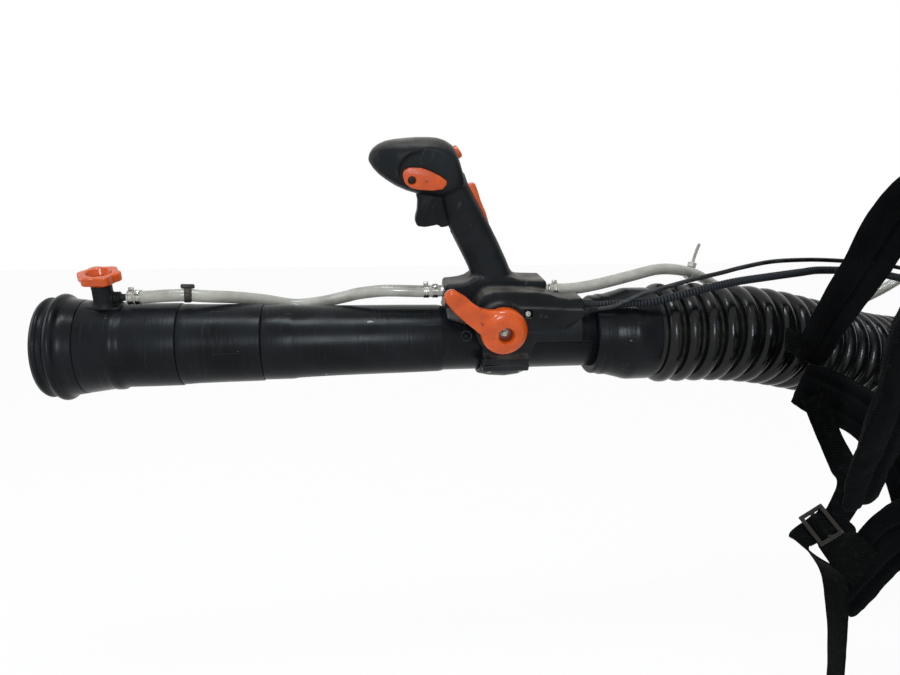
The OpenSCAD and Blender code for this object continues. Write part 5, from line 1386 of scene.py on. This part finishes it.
class BLOWER_OT_controls(bpy.types.Operator):
    """Models the trigger, its lockout, the setting lever, the stop button and the valve lever"""
    bl_idname = "blower.controls"
    bl_label = "Controls"

    TRIGGER = [(-715, 171), (-708, 175), (-700, 172), (-698.5, 160), (-697, 150), (-689, 131),
               (-688.5, 122), (-696.1, 118), (-702.9, 117), (-705.5, 119.9), (-709.6, 118.9),
               (-718.3, 117.3), (-725.6, 118.3), (-727.7, 122), (-727.6, 126.9), (-725.8, 134.1),
               (-725.4, 143.7), (-727, 148.5), (-719, 158)]
    LOCKOUT = [(-679, 157.5), (-676.9, 159), (-670.2, 160), (-667, 152.6), (-663.6, 143), (-658.2, 131.8),
               (-653.6, 118), (-650.4, 112), (-654, 108), (-659, 110), (-662, 118), (-670, 140)]
    SETTING = [(-741.8, 169.6), (-740.1, 174.1), (-734.9, 176.3), (-724.8, 176), (-716.4, 173.4),
               (-707.1, 168.9), (-700.8, 164.5), (-700.8, 161), (-704.5, 156.7), (-713.9, 155.6),
               (-725.5, 156.1), (-733.9, 157.8), (-739.5, 162)]
    ARM = [(-698, 66.4), (-702.4, 62), (-703.8, 57.6), (-702.1, 52.6), (-693.1, 42.2), (-682.1, 32),
           (-674, 25.4), (-664, 17), (-640, 12), (-630, 30), (-640, 44), (-649.2, 44.3), (-657.9, 44.3),
           (-667.8, 46.6), (-675.1, 51.3), (-682.9, 58.5), (-693.7, 65.1)]

    def execute(self, context):
        finish(seat(self.trigger(), HANDLE_ROLL), moulded_polyamide, "trigger", "trigger")
        finish(seat(self.lockout(), HANDLE_ROLL), orange_polyamide, "trigger_lockout", "trigger_lockout")
        finish(seat(self.setting(), HANDLE_ROLL), orange_polyamide, "setting_lever", "setting_lever")
        pin = drum("setting_pin", 4, 14, 23.6, (-733, 0, 164.7), (0, -1, 0), 0.4)
        finish(seat(pin, HANDLE_ROLL), acetal, "setting_lever")
        finish(seat(self.button(), HANDLE_ROLL), orange_polyamide, "stop_button", "stop_button")
        lever, screw = self.valve_lever()
        finish(seat(lever, HANDLE_ROLL), orange_polyamide, "valve_lever", "valve_lever", angle=50)
        finish(seat(screw, HANDLE_ROLL), zinc_steel, "valve_lever")
        return {"FINISHED"}

    def trigger(self):
        blade = soften(plate("trigger_blade", self.TRIGGER, "xz", -6.5, 6.5), 2.2, 3, 12)
        return cut(blade, drum("pin_bore", 2.55, -9, 9, (-706, 0, 167), (0, 1, 0)))

    def lockout(self):
        """A blade with a pad on its back that the palm presses, and finger ridges across it."""
        blade = soften(plate("lockout_blade", self.LOCKOUT, "xz", -5.2, 5.2), 0.9, 3, 20)
        grooves = []
        for x, z in ((-672.9, 160.8), (-670, 154.5), (-667, 147.5), (-664, 140)):
            grooves.append(drum("groove", 0.45, -4, 4, (x + 2.6, 0, z - 0.4), (0, 1, 0), steps=12))
        return cut(blade, drum("pin_bore", 2.05, -9, 9, (-655, 0, 112), (0, 1, 0)), *grooves)

    def setting(self):
        blade = plate("setting_blade", self.SETTING, "xz", -27.8, -23.3)
        soften(blade, 1.3, 4, 20)
        cup = turned("cup", [(0, 0), (0, 3.4), (2.4, 3.5), (5.0, 4.1), (6.4, 5.0), (8, 5.0), (8, 0)], 48)
        cut(blade, stand(cup, (-733.1, -22.8, 164.8), (0, -1, 0)))
        return blade

    def button(self):
        knob = turned("stop_knob", [(-9.5, 0), (-9.5, 4), (-5, 4), (-5, 6.5), (2.2, 6.5), (3.4, 5.9),
                                    (4, 4.6), (3.6, 3), (3.4, 0)], 56)
        return stand(knob, BUTTON_AT, BUTTON_OUT)

    def valve_lever(self):
        """A domed disc with a rounded arm growing out of it, and a sunk screw in its middle."""
        disc = turned("disc", [(38.3, 0), (38.3, 22.6), (39.2, 23.5), (46, 23.6), (49, 23), (51.4, 21.2),
                               (53.2, 18), (54.1, 13.5), (54.3, 0)], 72)
        stand(disc, (-643, 0, 21.5), (0, -1, 0))
        arm = soften(plate("arm", self.ARM, "xz", -51.3, -40.3), 4.2, 4, 60)
        lever = moulded("valve_arm", [disc, arm], 0.8, 5)
        recess = turned("recess", [(46, 0), (46, 6.6), (52.2, 7.2), (53.4, 8.2), (56, 9.4), (56, 0)], 48)
        stand(recess, (-641.8, 0, 19.5), (0, -1, 0))
        cut(lever, recess)
        spindle = drum("spindle", 6.9, 32.5, 39.5, (-643, 0, 21.5), (0, -1, 0))
        lever = joined("valve_arm", [lever, spindle])
        washer = turned("washer", [(45.6, 0), (45.6, 3.9), (46.8, 3.9), (46.8, 3.2), (49.4, 3.1),
                                   (49.8, 2.6), (49.8, 1.6), (48.6, 1.4), (48.6, 0)], 40)
        stand(washer, (-642.9, 0, 20.7), (0, -1, 0))
        return lever, named(washer, "valve_screw")


# ---------------------------------------------------------------- harness

# Centre line of each band: place, direction of its width, width and thickness, in mm
STRAP_RIGHT = [
    ((-126, 80, 560), (0, 1, 0), 60, 9), ((-165, 80, 588), (0, 1, 0), 64, 13),
    ((-210, 80, 583), (0.5, 0.8, -0.3), 68, 15), ((-245, 78, 546), (0.8, 0.3, -0.6), 70, 15),
    ((-273, 76, 514), (0.88, 0.1, -0.47), 66, 15), ((-299, 75, 469), (0.9, 0, -0.43), 56, 14),
    ((-325, 74, 430), (0.86, 0, -0.5), 48, 13), ((-342, 74, 398), (0.86, 0, -0.5), 42, 11),
    ((-350, 74, 384), (0.86, 0, -0.5), 34, 7),
]
STRAP_LEFT = [
    ((-126, -80, 560), (0, 1, 0), 60, 9), ((-180, -80, 598), (0, 1, 0), 64, 13),
    ((-270, -80, 592), (0, 1, 0), 68, 15), ((-345, -80, 535), (0.3, 0.9, 0), 68, 15),
    ((-378, -79, 465), (0.6, 0.6, 0), 62, 15), ((-377, -74, 400), (0.85, 0.3, 0.1), 56, 14),
    ((-374, -60, 352), (0.9, 0.1, 0.2), 52, 14), ((-367, -40, 312), (0.9, 0, 0.3), 46, 13),
    ((-358, -24, 278), (0.9, 0, 0.3), 38, 10),
]
WING_RIGHT = [
    ((-122, 60, 120), (0, 0, 1), 50, 6), ((-138, 60, 120), (0, 0, 1), 50, 7),
    ((-156, 59, 121), (0, 0, 1), 52, 8), ((-205, 57, 190), (0.7, 0, 0.7), 54, 11),
    ((-248, 56, 285), (0.6, 0, 0.8), 54, 11), ((-291, 56, 330), (0.55, 0, 0.83), 52, 11),
    ((-340, 56, 358), (0.5, 0, 0.86), 52, 10), ((-368, 56, 370), (0.5, 0, 0.86), 44, 8),
]
WING_LEFT = [
    ((-122, -40, 118), (0, 0, 1), 54, 6), ((-138, -39, 118), (0, 0, 1), 55, 7),
    ((-156, -37, 119), (-0.1, 0, 1), 56, 8), ((-205, -20, 178), (-0.3, 0, 0.95), 64, 11),
    ((-256, 0, 231), (-0.45, 0.1, 0.88), 74, 12), ((-287, 9, 227), (-0.65, 0.15, 0.72), 68, 12),
    ((-309, 15, 195), (-0.79, 0.2, 0.57), 52, 11), ((-326, 17, 167), (-0.8, 0.2, 0.5), 44, 10),
    ((-335, 17, 152), (-0.8, 0.2, 0.5), 32, 9),
]
FEED = [
    ((-354, 50, 357), (0.8, 0, 0.5), 30, 2.2), ((-340, 45, 319), (0.9, 0, 0.4), 24, 2.2),
    ((-334, 28, 292), (0.8, -0.3, 0.3), 24, 2.2), ((-346, 2, 283), (0.5, -0.8, -0.3), 23, 2.2),
]
TAIL = [
    ((-390, 4.5, 233), (0.36, -0.78, -0.5), 20, 2.2), ((-384, 5, 225), (0.42, -0.8, -0.42), 22, 2.2),
    ((-367, 4.5, 212), (0.44, -0.85, -0.25), 24, 2.2),
    ((-353, 4, 195), (0.42, -0.85, -0.1), 25, 2.2), ((-348, 2, 168), (0.2, -0.95, 0), 26, 2.2),
    ((-347, -2, 133), (-0.05, -1, 0), 26, 2.2), ((-345, -4, 82), (-0.1, -1, 0), 26, 2.2),
    ((-343, -4, 42), (0.1, -1, 0), 26, 2.2), ((-344.4, -4, 38.4), (0.1, -1, 0), 26, 2.2),
    ((-346, -4, 42), (0.1, -1, 0), 26, 2.2), ((-347.6, -4.4, 74), (0, -1, 0), 26, 2.2),
]
END = [
    ((-354, 67, 390), (0.6, 0.3, 0.75), 22, 2.2), ((-363, 63, 400), (0.5, 0.3, 0.8), 23, 2.4),
    ((-374, 59, 408), (0.42, 0.3, 0.86), 23, 2.4), ((-385, 56, 411), (0.36, 0.3, 0.9), 22, 3.4),
]
TAB = [
    ((-374, 12, 251), (0.68, -0.29, 0.67), 24, 2.2), ((-367, 0.4, 245), (0.68, -0.29, 0.67), 32, 2.2),
    ((-361, -4, 239), (0.68, -0.2, 0.67), 36, 2.2), ((-351, -1, 227), (0.68, 0, 0.69), 37, 2.2),
    ((-334, 4, 211), (0.68, 0, 0.69), 42, 2.2), ((-316, 7, 196), (0.68, 0, 0.69), 38, 2.2),
]
BUCKLE_AT = (-373.7, 0, 249.1)
BUCKLE_TURN = (-54.1, 42.2, 157.3)


def buckle_place():
    """Where the buckle lies, from its own axes: x along the webbing, y along the bars."""
    x, y, z = [math.radians(angle) for angle in BUCKLE_TURN]
    turn = Matrix.Rotation(z, 4, "Z") @ Matrix.Rotation(y, 4, "Y") @ Matrix.Rotation(x, 4, "X")
    return Matrix.Translation(mm(*BUCKLE_AT)) @ turn


def band_frames(rows, steps):
    """Stations along a band: middle, directions of its width and its thickness, and its half sizes."""
    middles = smooth([mm(*row[0]) for row in rows], steps)
    widths = smooth([row[1] for row in rows], steps)
    sizes = smooth([(row[2], row[3], 0) for row in rows], steps)
    frames = []
    for i, middle in enumerate(middles):
        ahead = (middles[min(i + 1, len(middles) - 1)] - middles[max(i - 1, 0)]).normalized()
        side = (widths[i] - ahead * widths[i].dot(ahead)).normalized()
        frames.append((middle, side, side.cross(ahead), sizes[i].x * 0.0005, sizes[i].y * 0.0005))
    return frames


def band(name, frames, count, power, selvedge=0.0):
    """A band's closed shell; a selvedge makes its two edges fuller than its middle."""
    rings = []
    for middle, side, lift, wide, thick in frames:
        rings.append([middle + side * (a * wide) + lift * (b * thick * (1 - selvedge * (1 - a ** 6)))
                      for a, b in oval(count, power)])
    return skin(name, rings)


def stuffed(pad, grain, most):
    """Swells a pad as its filling does: even mesh, cloth under pressure, no point moved past a cap."""
    modify(pad, "REMESH", mode="VOXEL", voxel_size=grain)
    if most > 0:
        start = [v.co.copy() for v in pad.data.vertices]
        only(pad)
        bpy.ops.object.modifier_add(type="CLOTH")
        cloth = pad.modifiers[-1]
        cloth.settings.effector_weights.gravity = 0
        cloth.settings.use_pressure = True
        cloth.settings.uniform_pressure_force = 4
        cloth.point_cache.frame_start = 1
        cloth.point_cache.frame_end = 20
        for step in range(1, 21):
            bpy.context.scene.frame_set(step)
        bpy.ops.object.modifier_apply(modifier=cloth.name)
        bpy.context.scene.frame_set(1)
        for vertex, before in zip(pad.data.vertices, start):
            move = vertex.co - before
            if move.length > most:
                vertex.co = before + move * (most / move.length)
    modify(pad, "SMOOTH", factor=0.5, iterations=3)
    return modify(pad, "SUBSURF", levels=1, render_levels=1)


def creased(piece, depth, size, seed):
    """Presses soft folds and dents into cloth; the depth and the size are in metres."""
    moves = [v.normal * (depth * noise.fractal(v.co / size + Vector((seed, 0, 0)), 0.7, 2.0, 3))
             for v in piece.data.vertices]
    for vertex, move in zip(piece.data.vertices, moves):
        vertex.co += move
    return piece


def sewn(pad, frames, channels, depth, hem):
    """Draws a pad in along its sewn channels, and towards its thin hems."""
    for vertex in pad.data.vertices:
        middle, side, lift, wide, thick = min(frames, key=lambda f: (f[0] - vertex.co).length_squared)
        out = vertex.co - middle
        across, rise = out.dot(side) / wide, out.dot(lift)
        pull = max(math.exp(-((across - c) * wide / 0.0032) ** 2) for c in channels)
        thin = max(0.0, min(1.0, (abs(across) - hem) / (1 - hem)))
        vertex.co -= lift * (rise * min(0.8, depth * pull + 0.6 * thin * thin))
    return pad


def stitches(pad, line, lift):
    """Thread stitches laid on a pad along a line; each is a slim lozenge of eight faces."""
    length, gap, half = 0.0036, 0.0020, 0.0005
    points, faces = [], []
    count = int(line_length(line) / (length + gap))
    spots = along(line, [(length + gap) * i + part for i in range(count) for part in (0, length)])
    for a, b in zip(spots[::2], spots[1::2]):
        out = lift(a)
        ends = []
        for spot in (a, b):
            hit, place, normal, face = pad.ray_cast(spot + out * 0.03, -out)
            if hit:
                ends.append(place)
        if len(ends) < 2:
            continue
        side = (ends[1] - ends[0]).cross(out).normalized() * half
        middle = (ends[0] + ends[1]) / 2
        first = len(points)
        points += [ends[0], middle + side, middle + out * half * 1.6, middle - side,
                   middle - out * half, ends[1]]
        for j in range(1, 5):
            k = j % 4 + 1
            faces += [(first, first + j, first + k), (first + 5, first + k, first + j)]
    mesh = bpy.data.meshes.new("stitching")
    mesh.from_pydata(points, [], faces)
    thread = bpy.data.objects.new("stitching", mesh)
    bpy.context.scene.collection.objects.link(thread)
    edit(thread)
    bpy.ops.mesh.normals_make_consistent(inside=False)
    leave_edit()
    return thread


class BLOWER_OT_back_pad(bpy.types.Operator):
    """Makes the back pad: a stuffed cushion with two sewn channels and a bound edge"""
    bl_idname = "blower.back_pad"
    bl_label = "Back pad"

    CHANNELS = (-0.36, 0.36)

    def execute(self, context):
        sizes = context.scene.blower_sizes
        low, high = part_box("back_pad")
        middle, half = (low + high) / 2, (high - low) / 2
        rings = []
        for j in range(41):
            v = -0.985 + 1.97 * j / 40
            across = [-1 + i / 16 for i in range(33)]
            front = [(a, (1 - abs(a) ** 5) ** 0.5 * (1 - abs(v) ** 5) ** 0.5) for a in across]
            ring = [self.spot(high.x, middle, half, a, v, share) for a, share in front]
            rings.append(ring + [self.spot(high.x, middle, half, a, v, -0.02) for a in across[-2:0:-1]])
        pad = stuffed(skin("back_cushion", rings), 0.0045, sizes.pillow)
        for vertex in pad.data.vertices:
            v = (vertex.co.z - middle.z) / half.z
            pull = max(math.exp(-((v - c) * half.z / 0.0050) ** 2) for c in self.CHANNELS)
            vertex.co.x += (high.x - vertex.co.x) * 0.42 * pull
        creased(pad, 0.0009, 0.045, 3.1)
        for vertex in pad.data.vertices:
            vertex.co.x = min(vertex.co.x, high.x)
        finish(pad, pad_fabric, "machine", "back_pad", angle=60)
        edge = []
        for i in range(97):
            c, s = math.cos(math.tau * i / 96), math.sin(math.tau * i / 96)
            a, v = math.copysign(abs(c) ** 0.3, c), math.copysign(abs(s) ** 0.3, s)
            edge.append(self.spot(high.x, middle, half * 0.985, a, v, 0.12))
        binding = swept("back_cushion_binding", edge, 0.0024, 10, capped=False)
        seams = [binding]
        for v in self.CHANNELS:
            line = [self.spot(high.x, middle, half, a / 20, v, 0.5) for a in range(-18, 19)]
            seams.append(stitches(pad, line, lambda spot: Vector((-1, 0, 0))))
        binding = joined("back_cushion_binding", seams)
        finish(binding, webbing_weave, "machine", angle=60)
        return {"FINISHED"}

    def spot(self, back, middle, half, a, v, share):
        """A place on the cushion: across it, up it, and its share of the thickness."""
        waist = 1 - 0.06 * (1 - v * v)
        return Vector((back - 2 * half.x * 0.9 * share, middle.y + a * half.y * waist,
                       middle.z + v * half.z))


class BLOWER_OT_padded_straps(bpy.types.Operator):
    """Makes the padded shoulder straps and belt wings: stuffed, channelled, bound and stitched"""
    bl_idname = "blower.padded_straps"
    bl_label = "Padded straps"

    def execute(self, context):
        sizes = context.scene.blower_sizes
        straps = [("strap_right", STRAP_RIGHT, (0.0,), ["shoulder_pad_right"]),
                  ("strap_left", STRAP_LEFT, (0.0,), ["shoulder_pad_left"]),
                  ("wing_right", WING_RIGHT, (-0.36, 0.36), ["hip_belt"]),
                  ("wing_left", WING_LEFT, (-0.36, 0.36), [])]
        for seed, (name, rows, channels, nodes) in enumerate(straps):
            frames = band_frames(rows, 12)
            slim = [(m, s, l, wide - 0.0004, thick * 0.8) for m, s, l, wide, thick in frames]
            pad = stuffed(band(name, slim, 36, 2.9), 0.0032, sizes.pillow * 0.5)
            sewn(pad, frames, channels, 0.5, 0.84)
            creased(pad, 0.0010, 0.030, seed * 7.3)
            finish(pad, pad_fabric, "machine", *nodes, angle=60)
            there, back = self.edge_of(pad, frames, 1), self.edge_of(pad, frames, -1)[::-1]
            seams = [swept("welt", there + back + there[:1], sizes.welt, 8, capped=False)]
            for channel in channels:
                line = [m + s * (wide * channel) for m, s, l, wide, thick in frames[2:-2]]
                for way in (1, -1):
                    seams.append(stitches(pad, line, self.lift_of(frames, way)))
            binding = joined(name + "_binding", seams)
            finish(binding, webbing_weave, "machine", angle=60)
        return {"FINISHED"}

    def edge_of(self, pad, frames, way):
        """Where one edge of a pad lies once it is stuffed, from station to station."""
        line = []
        for middle, side, lift, wide, thick in frames[2:-2]:
            hit, place, normal, face = pad.ray_cast(middle + side * (way * (wide + 0.02)), side * -way)
            if hit:
                line.append(place - side * (way * 0.0008))
        middles = [(a + b + c) / 3 for a, b, c in zip(line, line[1:], line[2:])]
        return line[:1] + middles + line[-1:]

    def lift_of(self, frames, way):
        return lambda spot: min(frames, key=lambda f: (f[0] - spot).length_squared)[2] * way


class BLOWER_OT_webbing(bpy.types.Operator):
    """Makes the flat webbing: the strap threaded through its buckle, its end, and the tab on the belt"""
    bl_idname = "blower.webbing"
    bl_label = "Webbing"

    def execute(self, context):
        place = buckle_place()
        bars = place.to_3x3() @ Vector((0, 1, 0))
        threaded = [(place @ mm(x, 0, z) * 1000, bars, 21, 2.2)
                    for x, z in ((-16, -2.4), (-10, -3.2), (-5, 0), (0, 3.3), (5, 0), (10, -3.2),
                                 (15, -2.6))]
        for name, rows, nodes in (("webbing_strap", FEED + threaded + TAIL, ["webbing"]),
                                  ("webbing_end", END, []), ("belt_tab", TAB, [])):
            frames = band_frames(rows, 10)
            strap = creased(band(name, frames, 28, 5, 0.25), 0.0005, 0.03, len(name))
            finish(strap, webbing_weave, "machine", *nodes, angle=60)
        return {"FINISHED"}


class BLOWER_OT_buckle(bpy.types.Operator):
    """Models the ladder lock buckle: two rails with a lifted thumb end, and three bars"""
    bl_idname = "blower.buckle"
    bl_label = "Buckle"

    def execute(self, context):
        parts = []
        for low in (-15, 11.8):
            rail = plate("rail", [(-12, -1.4), (-10.8, -2.4), (10.8, -2.4), (12, -1.4), (12, 1.4),
                                  (10.8, 2.4), (-8, 2.4), (-10.8, 3), (-12, 2.1)],
                         "xz", low, low + 3.2)
            parts.append(soften(rail, 0.8, 3))
        for x in (-12, -2, 8):
            bar = plate("bar", [(x, -1.1), (x + 0.8, -1.8), (x + 3.2, -1.8), (x + 4, -1.1), (x + 4, 1.1),
                                (x + 3.2, 1.8), (x + 0.8, 1.8), (x, 1.1)], "xz", -12, 12)
            parts.append(soften(bar, 0.5, 3))
        buckle = joined("ladder_buckle", parts)
        buckle.matrix_world = buckle_place()
        settle(buckle)
        finish(buckle, acetal, "machine", "buckles")
        return {"FINISHED"}


# ---------------------------------------------------------------- machine


def refined(kind, *nodes, body="machine", width=1.0, segments=2, slot=None):
    """Takes a copy of each node, merges its loose triangles into clean faces, rounds its edges by a
    share of the moulded edge, and lets it stand for the node."""
    width *= bpy.context.scene.blower_sizes.edge
    for node in nodes:
        piece = bpy.data.objects.new(node + "_skin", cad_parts[node].data.copy())
        bpy.context.scene.collection.objects.link(piece)
        edit(piece)
        bpy.ops.mesh.remove_doubles(threshold=1e-5)
        bpy.ops.mesh.dissolve_limited(angle_limit=math.radians(0.5))
        leave_edit()
        soften(piece, width, segments, 30)
        modify(piece, "TRIANGULATE")
        finish(piece, kind, body, node, slot=slot)


def faced(kind, *nodes):
    """Gives nodes that stay as they are a surface."""
    for node in nodes:
        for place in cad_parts[node].material_slots:
            place.material = made_of(kind)


class BLOWER_OT_carrying_frame(bpy.types.Operator):
    """Finishes the back plate, the base, the tank shelf and the rubber mounts"""
    bl_idname = "blower.carrying_frame"
    bl_label = "Carrying frame"

    def execute(self, context):
        refined(housing_polymer, "back_plate", "base_frame", "tank_shelf", width=1.4)
        refined(soft_rubber, "av_mounts", width=0.8)
        return {"FINISHED"}


class BLOWER_OT_fan_unit(bpy.types.Operator):
    """Finishes the fan's housing, its outlet and the wheel inside"""
    bl_idname = "blower.fan_unit"
    bl_label = "Fan unit"

    def execute(self, context):
        refined(housing_polymer, "fan_housing_front", "fan_housing_rear", "elbow", width=0.8)
        faced(grey_polyamide, "fan_wheel")
        return {"FINISHED"}


class BLOWER_OT_engine(bpy.types.Operator):
    """Finishes the engine, its cover, exhaust, carburettor, air filter and plug"""
    bl_idname = "blower.engine"
    bl_label = "Engine"

    def execute(self, context):
        refined(orange_polyamide, "engine_cover", width=1.6, segments=3)
        refined(cast_aluminium, "crankcase", "cylinder", "carburetor", width=0.4)
        refined(heated_steel, "muffler", width=1.2)
        refined(housing_polymer, "air_filter_cover", width=1.2)
        refined(soft_rubber, "spark_plug", width=0.6)
        faced(cast_aluminium, "piston")
        faced(bright_steel, "crankshaft", "crank_bearings", "flywheel")
        return {"FINISHED"}


class BLOWER_OT_starter(bpy.types.Operator):
    """Finishes the starter's housing and grip, and the choke lever"""
    bl_idname = "blower.starter"
    bl_label = "Starter"

    def execute(self, context):
        refined(housing_polymer, "starter_housing", width=0.9)
        refined(soft_rubber, "starter_grip", body="starter_grip", width=1.8, segments=4,
                slot="black_handle")
        refined(grey_polyamide, "choke_lever", body="choke_lever", width=0.8)
        return {"FINISHED"}


class BLOWER_OT_tanks(bpy.types.Operator):
    """Finishes the liquid tank, the fuel tank and their caps"""
    bl_idname = "blower.tanks"
    bl_label = "Tanks"

    def execute(self, context):
        refined(tank_polyethylene, "liquid_tank", "fuel_tank", width=2.4, segments=4)
        refined(housing_polymer, "tank_cap", body="tank_cap", width=0.9)
        refined(housing_polymer, "fuel_cap", body="fuel_cap", width=0.7)
        return {"FINISHED"}


class BLOWER_OT_screws(bpy.types.Operator):
    """Finishes the housings' screws"""
    bl_idname = "blower.screws"
    bl_label = "Screws"

    def execute(self, context):
        refined(zinc_steel, "housing_screws", width=0.3)
        return {"FINISHED"}


# ---------------------------------------------------------------- panel and run


class BLOWER_PT_panel(bpy.types.Panel):
    """Lists the sizes, the colours and the pieces"""
    bl_label = "Backpack blower"
    bl_idname = "BLOWER_PT_panel"
    bl_space_type = "VIEW_3D"
    bl_region_type = "UI"
    bl_category = "Blower"

    def draw(self, context):
        layout = self.layout
        for group in (context.scene.blower_sizes, context.scene.blower_finish):
            column = layout.column(align=True)
            for name in group.__annotations__:
                column.prop(group, name)
        for piece in PIECES:
            layout.operator(piece.bl_idname)


PIECES = [BLOWER_OT_stage, BLOWER_OT_pleated_hose, BLOWER_OT_control_cables, BLOWER_OT_liquid_hoses,
          BLOWER_OT_starter_rope, BLOWER_OT_blow_tube, BLOWER_OT_metering_valve,
          BLOWER_OT_handle, BLOWER_OT_controls,
          BLOWER_OT_back_pad, BLOWER_OT_padded_straps, BLOWER_OT_webbing, BLOWER_OT_buckle,
          BLOWER_OT_carrying_frame, BLOWER_OT_fan_unit, BLOWER_OT_engine, BLOWER_OT_starter,
          BLOWER_OT_tanks, BLOWER_OT_screws]
CLASSES = [BLOWER_PG_finish, BLOWER_PG_sizes, *PIECES, BLOWER_PT_panel]


def register():
    for each in CLASSES:
        bpy.utils.register_class(each)
    bpy.types.Scene.blower_finish = bpy.props.PointerProperty(type=BLOWER_PG_finish)
    bpy.types.Scene.blower_sizes = bpy.props.PointerProperty(type=BLOWER_PG_sizes)


def unregister():
    del bpy.types.Scene.blower_sizes
    del bpy.types.Scene.blower_finish
    for each in reversed(CLASSES):
        bpy.utils.unregister_class(each)


def main():
    """Builds every piece."""
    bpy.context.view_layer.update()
    register()
    for piece in PIECES:
        group, name = piece.bl_idname.split(".")
        getattr(getattr(bpy.ops, group), name)()
    leave_edit()
    bpy.ops.object.select_all(action="DESELECT")


if __name__ == "__main__":
    main()
